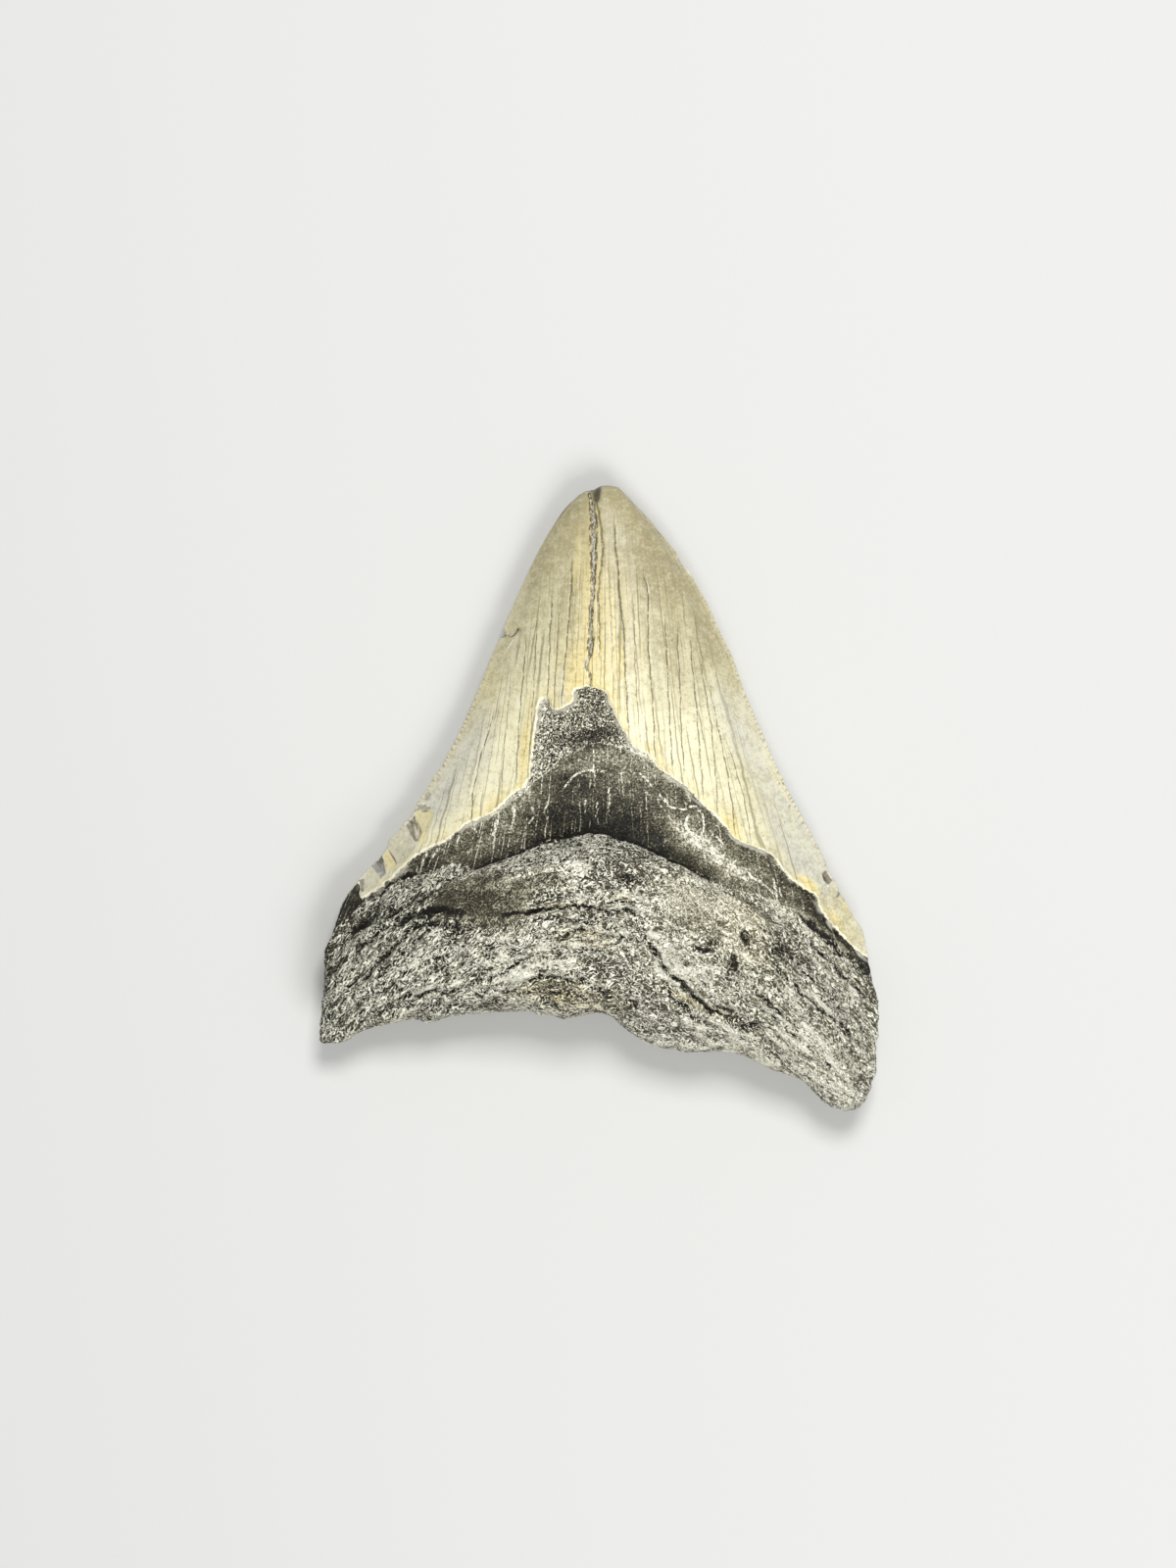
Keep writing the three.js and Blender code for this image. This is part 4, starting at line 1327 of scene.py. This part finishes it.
def enamel_colour(face, facts):
    """Olive at the tip, cream and grey-white below, and streaked lengthwise away from the edges. Light
    is painted in as well: partly a painted sheen on the paler lower enamel, a painted sheen on the
    lower right, painted highlights on the serrations with painted shade in their notches, and painted
    shade on the tip's right side.
    """
    cloud = face.swing(face.place, 0.24, 4.0, 0.62)
    mottle = face.swing(face.place, 0.8, 4.0, 0.7)
    speck = face.swing(face.place, 2.4, 2.0, 0.7)
    broad = face.swing(face.point(face.fan, face.y * 0.05), 0.6, 3.0, 0.6)
    fine = face.swing(face.point(face.fan, face.y * 0.035, 4.0), 2.2, 3.0, 0.65)
    streaked = facts["edge"].rise(1.0, 5.5) * face.y.rise(46.0, 30.0, 0.5)
    broad_streak = broad * streaked * 0.8
    fine_streak = fine * streaked
    towards_base = face.y.rise(47.0, 2.0)
    dull = facts["pale"].at_most(0.0)

    # Paler towards the base and grey-white on the lower sides: the enamel's own colour, and partly a
    # painted sheen. The darker pale patches paint shade on the tip's right side, where the key light
    # falls.
    brightness = towards_base * 0.8 + broad_streak * 0.6 + cloud + facts["pale"] * 0.45
    colour = brightness.clamped().tint(OLIVE, CREAM)
    near_rim = facts["enamel"].rise(3.0, 0.3) * facts["edge"].rise(0.5, 3.0)
    ochre = facts["ochre"] * 0.8 + near_rim * 0.4 + broad_streak * 1.1 + fine_streak * 1.2
    colour = (ochre.rise(0.22, 1.05) * 0.9).tint(colour, YELLOW)
    sides = facts["edge"].rise(10.0, 3.0) * face.y.rise(30.0, 8.0)
    greyness = sides * 0.75 + cloud + fine_streak * 0.9 + dull * 0.7
    greyness = greyness - facts["ochre"] * 0.8 - near_rim * 0.4
    colour = greyness.clamped().tint(colour, GREY_WHITE)
    # Painted sheen: a grey-white sheen laid into the colour on the lower right of the crown, near the
    # right cutting edge.
    right_corner = face.x.rise(22.0, 31.0) * face.y.rise(6.0, -6.0) * face.y.rise(-18.0, -13.0)
    worn = right_corner * cloud.rise(-0.2, 0.1) * facts["ochre"].rise(0.5, 0.1)
    colour = (worn * 0.8).tint(colour, SHEEN_GREY)

    # Dirt in mottles, streaks and specks, with more in the darker pale patches, among which is painted
    # shade on the tip's right side, where the key light falls.
    dirt_and_shade = mottle * 2.3 + fine_streak * 0.9 + speck * 1.8 + 0.02 - dull * 0.22
    colour = (dirt_and_shade.clamped() * 0.65).tint(colour, DIRT_AND_SHADE)
    clean = towards_base * 0.08 - mottle * 1.6 - fine_streak * 0.9 - speck * 1.4
    colour = (clean.clamped() * 0.55).tint(colour, CLEAN)
    # Painted highlight on the beads of the serrated edges, and painted shade in the notches between
    # them.
    bead = facts["edge"].rise(0.9, 0.2) * facts["serrated"]
    colour = (bead * 0.5).tint(colour, BEAD_HIGHLIGHT)
    notch = (facts["notch"] * 1.4 + speck * 1.2 - 0.25).clamped()
    colour = (notch * 0.75).tint(colour, NOTCH_SHADE)
    return colour, broad, fine


def hairlines(face, spacing, half_width, seed):
    """Thin lines that fan out from the tip, about evenly spaced, each one broken along its length."""
    drift = face.swing(face.point(face.fan * 0.35, face.y * 0.022, seed))
    tremble = face.swing(face.point(face.x * 0.6, face.y * 0.5, seed + 4.0))
    path = (face.fan + drift * 3.0 + tremble * 0.35) * (1 / spacing)
    away = abs(path.remainder() - 0.5) * spacing
    own = face.noise(face.point(path.whole() * 0.73, face.y * 0.07, seed), 1.0, 1.5)
    return away.rise(half_width * 2, half_width * 0.5) * own.rise(0.42, 0.56)


def crack_darkness(face, facts):
    """The hairlines away from the cutting edges, the long cracks, and the pale lines beside these."""
    strength = facts["crack_strength"]
    clear = facts["edge"].rise(1.2, 4.5) * face.y.rise(41.0, 27.0)
    hair = hairlines(face, 1.55, 0.065, 1.0).at_least(hairlines(face, 0.85, 0.05, 7.0) * 0.6) * clear
    dots = face.swing(face.point(face.x * 1.3, face.y * 0.8, 5.0), 1.5, 2.5, 0.65)
    half_width = strength * 0.06 + 0.03 + dots * 0.22
    away = facts["crack"] + dots * 0.14
    long = (abs(away) / half_width).rise(1.4, 0.5) * strength.rise(0.0, 0.7)
    long = long * dots.rise(-0.14, 0.02, 0.3)
    pale = abs(away - 0.17).rise(0.11, 0.03) * strength.rise(0.5, 0.95) * dots.rise(0.0, -0.1)
    branch = abs(facts["branch"] + dots * 0.3).rise(0.16, 0.05) * facts["branch_strength"]
    branch = branch * dots.rise(-0.1, 0.05, 0.3)
    return hair, long.at_least(branch), pale


def filled_crack(face, facts, colour):
    """The wide crack: pale filler with dark ragged walls and a rusty halo."""
    ragged = face.swing(face.point(face.x * 1.4, face.y * 0.5, 2.0), 1.2, 4.0, 0.65)
    away = abs(facts["seam"] + ragged * 0.3) / (facts["seam_width"] + 0.001)
    present = facts["seam_width"].rise(0.03, 0.12)
    halo = away.rise(3.8, 1.0) * present * face.noise(face.place, 0.8, 3.0, 0.6).rise(0.3, 0.6)
    colour = (halo * 0.42).tint(colour, RUST)
    wall_gaps = face.noise(face.point(face.x, face.y * 0.55, 8.0), 1.5, 3.0, 0.7)
    wall = away.rise(1.9, 1.2) * present * wall_gaps.rise(0.43, 0.55)
    colour = (wall * 0.85).tint(colour, CRACK_WALL)
    filler = away.rise(0.95, 0.6) * present
    tone = face.noise(face.point(face.x * 1.6, face.y * 0.8, 3.0), 1.9, 3.0, 0.65)
    return filler.tint(colour, tone.ramp(FILLER_TONES)), filler, wall


def facet_colours(face, colour):
    """The flat breaks at the cutting edges, each in its own colour, crisp outside and cloudy inside."""
    stray = face.swing(face.place, 1.0, 3.0, 0.6)
    cloud = face.swing(face.place, 1.7, 3.0, 0.65)
    x = face.x + stray * 0.5 + face.labial * OFF_THE_TOOTH
    y = face.y - stray * 0.4
    deepest = None
    for corners, shown, _ in FACETS:
        inside = facet_depth(x, y, corners, Shade.at_most)
        colour = (inside.rise(-0.02, 0.06) * 0.88).tint(colour, srgb(*shown))
        deepest = inside if deepest is None else deepest.at_least(inside)
    cloudy = deepest.rise(0.0, 0.1) * 0.5
    colour = ((cloud * 2.4).clamped() * cloudy).tint(colour, PALE_FACET)
    return ((cloud * -2.4).clamped() * cloudy).tint(colour, DARK_FACET)


def enamel_finish(face, facts, boundary):
    """The enamel's colour, its height in millimetres and its roughness."""
    colour, broad, fine = enamel_colour(face, facts)
    hair, long, pale_line = crack_darkness(face, facts)
    colour = (hair * 0.6).tint(colour, HAIRLINE)
    colour = (pale_line * 0.6).tint(colour, PALE_LINE)
    colour = (long * 0.7).tint(colour, CRACK)
    colour, filler, wall = filled_crack(face, facts, colour)
    specks = face.noise(face.place, 1.5, 2.0, 0.6).rise(0.64, 0.72)
    colour = (specks * 0.4).tint(colour, SPECK)
    from_tip = abs(face.x + 0.5) + (TIP_Y - face.y) * 0.28
    tip_stain = from_tip.rise(1.5, 0.5) * face.noise(face.place, 0.9, 3.0, 0.6).rise(0.3, 0.5)
    colour = (tip_stain * 0.75).tint(colour, TIP_STAIN)
    chip_tone = face.noise(face.place, 0.9, 3.0, 0.6).ramp(CHIP_TONES)
    colour = (facts["chip"] * 0.8).tint(colour, chip_tone)
    colour = facet_colours(face, colour)
    colour = (facts["mark"].rise(0.2, 0.8) * 0.85).tint(colour, DARK_MARK)
    # Light marks, among them a painted highlight along the tip's right edge
    colour = ((-facts["mark"]).rise(0.2, 0.8) * 0.85).tint(colour, PALE_MARK)
    colour = colour.scaled(ENAMEL_DULLING)
    # Painted highlight: a light rim along the enamel's lower edge, where its step catches the light.
    rim = (boundary + face.swing(face.place, 0.7) * 0.6).rise(0.24, 0.08)
    colour = (rim * 0.75).tint(colour, ENAMEL_RIM_HIGHLIGHT)

    dents = face.swing(face.place, 2.2, 3.0, 0.6)
    height = fine * 0.05 - long * 0.12 - hair * 0.05 + filler * dents * 0.25 - wall * 0.1
    height = height + dents * 0.015
    roughness = broad * 0.15 + 0.36 + hair * 0.2 + long * 0.2 + filler * 0.3
    return colour, height, roughness


# The finish of the root, the bourlette and the bare patch

def pale_veins(face, facts, grain):
    """Fine pale lines of the bourlette: clusters of short ones, and the longer ones in their places."""
    gaps = face.noise(face.point(face.x * 0.9, face.y * 0.55, 6.0), 0.9, 2.0, 0.6)
    gaps = gaps + face.x.rise(6.0, -12.0, -0.04, 0.05)
    short = hairlines(face, 0.7, 0.04, 11.0).at_least(hairlines(face, 1.3, 0.04, 15.0))
    short = short * gaps.rise(0.42, 0.56) * grain.rise(0.42, 0.54, 0.2)
    return short.at_least(facts["vein"].rise(0.35, 0.8) * grain.rise(0.4, 0.5, 0.2))


def crease_darkness(facts, grain):
    """Painted shade in the creases, with a painted highlight on the lip beside them, painted shade in
    the neck groove with a soft painted shadow above it, and painted shade in the pits.
    """
    crumble = (grain - 0.5) * 1.2
    away = facts["crease"] + crumble
    crease = away.rise(1.25, 0.4) * facts["crease_strength"]
    lip = abs(away - 2.0).rise(1.1, 0.3) * facts["crease_strength"]
    groove = abs(facts["groove"] + crumble * 0.15).rise(0.27, 0.12) * facts["groove_strength"]
    shadow = facts["groove"].rise(1.8, 0.1) * facts["groove"].rise(-0.3, 0.1) * facts["groove_strength"]
    return crease * 0.75 + groove * 0.9 + shadow * 0.14 + facts["pit"] * 0.8 - lip * 0.22


def dentine_tone(face, facts):
    """How light the root, the bourlette and the bare patch are, and the height of their grain."""
    pale = facts["pale"]
    quiet = facts["quiet"]
    on_band = facts["band"].rise(-0.15, 0.25)
    on_patch = facts["patch"].rise(-0.12, 0.15)
    busy = 1.0 - quiet * 0.8

    sway = face.noise(face.place, 0.35)
    worm_place = face.point(face.x * 0.85 + sway * 2.0, face.level + sway * 2.0, face.z)
    worms = abs(face.swing(worm_place, 1.45, 1.5, 0.5, 1.0)).rise(0.08, 0.02)
    grain = face.noise(face.point(face.x * 0.9, face.level, face.z), 2.7, 2.0, 0.6, 0.5)
    crisp_grain = grain.rise(0.40, 0.60)
    streak_place = face.point(face.x * 0.24 + sway * 1.5, face.level + sway * 3.0, face.z * 0.4)
    streaks = face.swing(streak_place, 0.95, 3.0, 0.6)
    clumps = face.swing(face.point(face.x * 0.8, face.level, face.z), 0.45, 3.0, 0.6)
    sand = face.noise(face.place, 4.0, 1.0).rise(0.38, 0.62) - 0.5
    contrast = face.x.rise(-10.0, 12.0, 1.0, 0.8)
    texture = (worms - 0.3) * 1.3 + (crisp_grain - 0.5) * 0.55 + streaks * 2.0 + clumps * 1.4
    root = 0.51 + texture * busy * contrast + sand * (0.42 - quiet * 0.10)
    # Painted shade in the relief's hollows and painted light on its ridges, partly also dirt and wear.
    # The pale patches include painted shade along the root's left edge.
    root = root + pale * 0.56 - facts["hollow"] * contrast * 0.48 - quiet * 0.03
    root = root.at_least(face.x.rise(-10.0, 12.0, 0.05, 0.2))

    pebbles = face.noise(face.point(face.x, face.y * 0.85, face.z), 4.2, 2.0, 0.55, 0.6)
    patch = 0.29 + (pebbles.rise(0.40, 0.60) - 0.5) * 0.75 + (worms - 0.3) * 0.45 + pale * 0.5

    veins = pale_veins(face, facts, grain)
    specks = face.noise(face.place, 3.0, 1.0, 0.5, 0.4).rise(0.60, 0.70)
    smoke = face.swing(face.point(face.x * 0.7, face.y, face.z), 0.5, 2.0, 0.6)
    # The pale patches here include a painted sheen on the bourlette's right and painted shade over its
    # lower middle, above the groove.
    band = 0.18 + smoke * 0.6 + sand * 0.24 + pale * (crisp_grain * 0.45 + 0.28)
    band = band + veins * 0.75 + specks * 0.32

    tone = on_patch.blend(on_band.blend(root, band), patch)
    patch_line = abs(facts["patch"]).rise(0.16, 0.04) * face.noise(face.place, 0.9).rise(0.35, 0.55)
    # Painted shade in the creases, the neck groove and the pits, with a painted highlight on the
    # creases' lips.
    tone = tone + patch_line * 0.35 - crease_darkness(facts, grain)
    relief = grain - 0.5 + (worms - 0.5) * 0.6
    height = relief * busy * (1.0 - on_band * 0.65) + veins * on_band * 0.3
    return tone.clamped(), height, on_band


def dentine_colour(face, facts, tone):
    """Grey, with yellow stains in flecks, and little stain on the bourlette and the worn patches."""
    blotch = face.swing(face.place, 0.5, 3.0, 0.6)
    stain = (facts["ochre"] * 0.9 + blotch * 0.9 - facts["quiet"] * 0.3 - 0.1).clamped()
    neutral = (facts["quiet"] * 0.8 + facts["band"].rise(-0.1, 0.2)).clamped()
    flecks = face.noise(face.place, 1.3, 2.0, 0.6).rise(0.46, 0.60, 0.35)
    stained = stain * flecks * (1.0 - neutral * 0.7)
    return stained.tint(tone.ramp(GREY_TONES), tone.ramp(STAINED_TONES))


def dentine_finish(face, facts, boundary):
    """The colour, the height in millimetres and the roughness of all that has no enamel."""
    tone, grain_height, on_band = dentine_tone(face, facts)
    colour = dentine_colour(face, facts, tone)
    ledge = boundary.rise(-0.65, -0.3) * face.noise(face.place, 0.16, 2.0, 0.6).rise(0.47, 0.54)
    colour = (ledge * 0.8).tint(colour, LEDGE)
    return colour, grain_height * 0.42, on_band.rise(0.0, 1.0, 0.72, 0.5)


def tooth_material():
    material = bpy.data.materials.new("fossil_tooth")
    material.use_nodes = True
    tree = material.node_tree
    tree.nodes.clear()
    face = ToothFace(tree)
    facts = {name: face.fact(name) for name in FACTS}
    boundary = facts["enamel"] + face.swing(face.place, 1.6, 3.0, 0.6) * 0.35
    on_enamel = boundary.rise(-0.05, 0.07)
    enamel, enamel_height, enamel_roughness = enamel_finish(face, facts, boundary)
    dentine, dentine_height, dentine_roughness = dentine_finish(face, facts, boundary)
    height = on_enamel.blend(dentine_height, enamel_height)
    normal = face.start.node(
        "ShaderNodeBump", {"Strength": 1.0, "Distance": MM, "Height": height}, output="Normal")
    shader = face.start.node("ShaderNodeBsdfPrincipled", {
        "Base Color": on_enamel.tint(dentine, enamel),
        "Roughness": on_enamel.blend(dentine_roughness, enamel_roughness),
        "Normal": normal,
        "Specular IOR Level": SPECULAR_LEVEL,
    })
    face.start.node("ShaderNodeOutputMaterial", {"Surface": shader})
    return material


def plain_material(name, colour, roughness):
    material = bpy.data.materials.new(name)
    material.use_nodes = True
    shader = material.node_tree.nodes["Principled BSDF"]
    shader.inputs["Base Color"].default_value = colour
    shader.inputs["Roughness"].default_value = roughness
    return material


# The camera, straight above, at the photo's distance and framing
CAMERA_LENS = 85
SENSOR_HEIGHT = 36
MM_PER_PIXEL = 0.15
FRAME_HEIGHT_PIXELS = 1600
OUTLINE_HEIGHT = 6
FRAME_MIDDLE = (-1.65, 2.175)

# The floor in metres, and the soft lights: name, place and size in metres, and power in watts
FLOOR_SIZE = 4
FLOOR_DROP = 0.00005
FLOOR_ROUGHNESS = 0.9
LIGHTS = [
    ("key_light", (0.08, 0.35, 0.70), 0.24, 4.25),
    ("fill_light", (0.25, -0.50, 0.62), 0.4, 4.1),
]
WORLD_STRENGTH = 0.36


def add_camera():
    data = bpy.data.cameras.new("camera")
    data.sensor_fit = "VERTICAL"
    data.sensor_height = SENSOR_HEIGHT
    data.lens = CAMERA_LENS
    data.clip_start = 0.01
    camera = bpy.data.objects.new("camera", data)
    distance = FRAME_HEIGHT_PIXELS * MM_PER_PIXEL * CAMERA_LENS / SENSOR_HEIGHT
    camera.location = [MM * part for part in (*FRAME_MIDDLE, OUTLINE_HEIGHT + distance)]
    bpy.context.scene.collection.objects.link(camera)
    bpy.context.scene.camera = camera


def add_light(name, place, size, power):
    """A square soft light that faces the tooth."""
    data = bpy.data.lights.new(name, "AREA")
    data.shape = "SQUARE"
    data.size = size
    data.energy = power
    light = bpy.data.objects.new(name, data)
    light.location = place
    light.rotation_euler = (-Vector(place)).to_track_quat("-Z", "Y").to_euler()
    bpy.context.scene.collection.objects.link(light)


def add_stage():
    bpy.ops.mesh.primitive_plane_add(size=FLOOR_SIZE, location=(0, 0, -FLOOR_DROP))
    floor = bpy.context.object
    floor.name = "floor"
    floor.data.materials.append(plain_material("floor", FLOOR, FLOOR_ROUGHNESS))
    for light in LIGHTS:
        add_light(*light)
    world = bpy.data.worlds.new("studio")
    world.use_nodes = True
    background = world.node_tree.nodes["Background"]
    background.inputs["Color"].default_value = WHITE
    background.inputs["Strength"].default_value = WORLD_STRENGTH
    bpy.context.scene.world = world
    bpy.context.scene.view_settings.view_transform = "Standard"


add_camera()
add_stage()
tooth = tooth_piece()
tooth.data.materials.append(tooth_material())
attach(tooth, "root")
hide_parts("tooth")
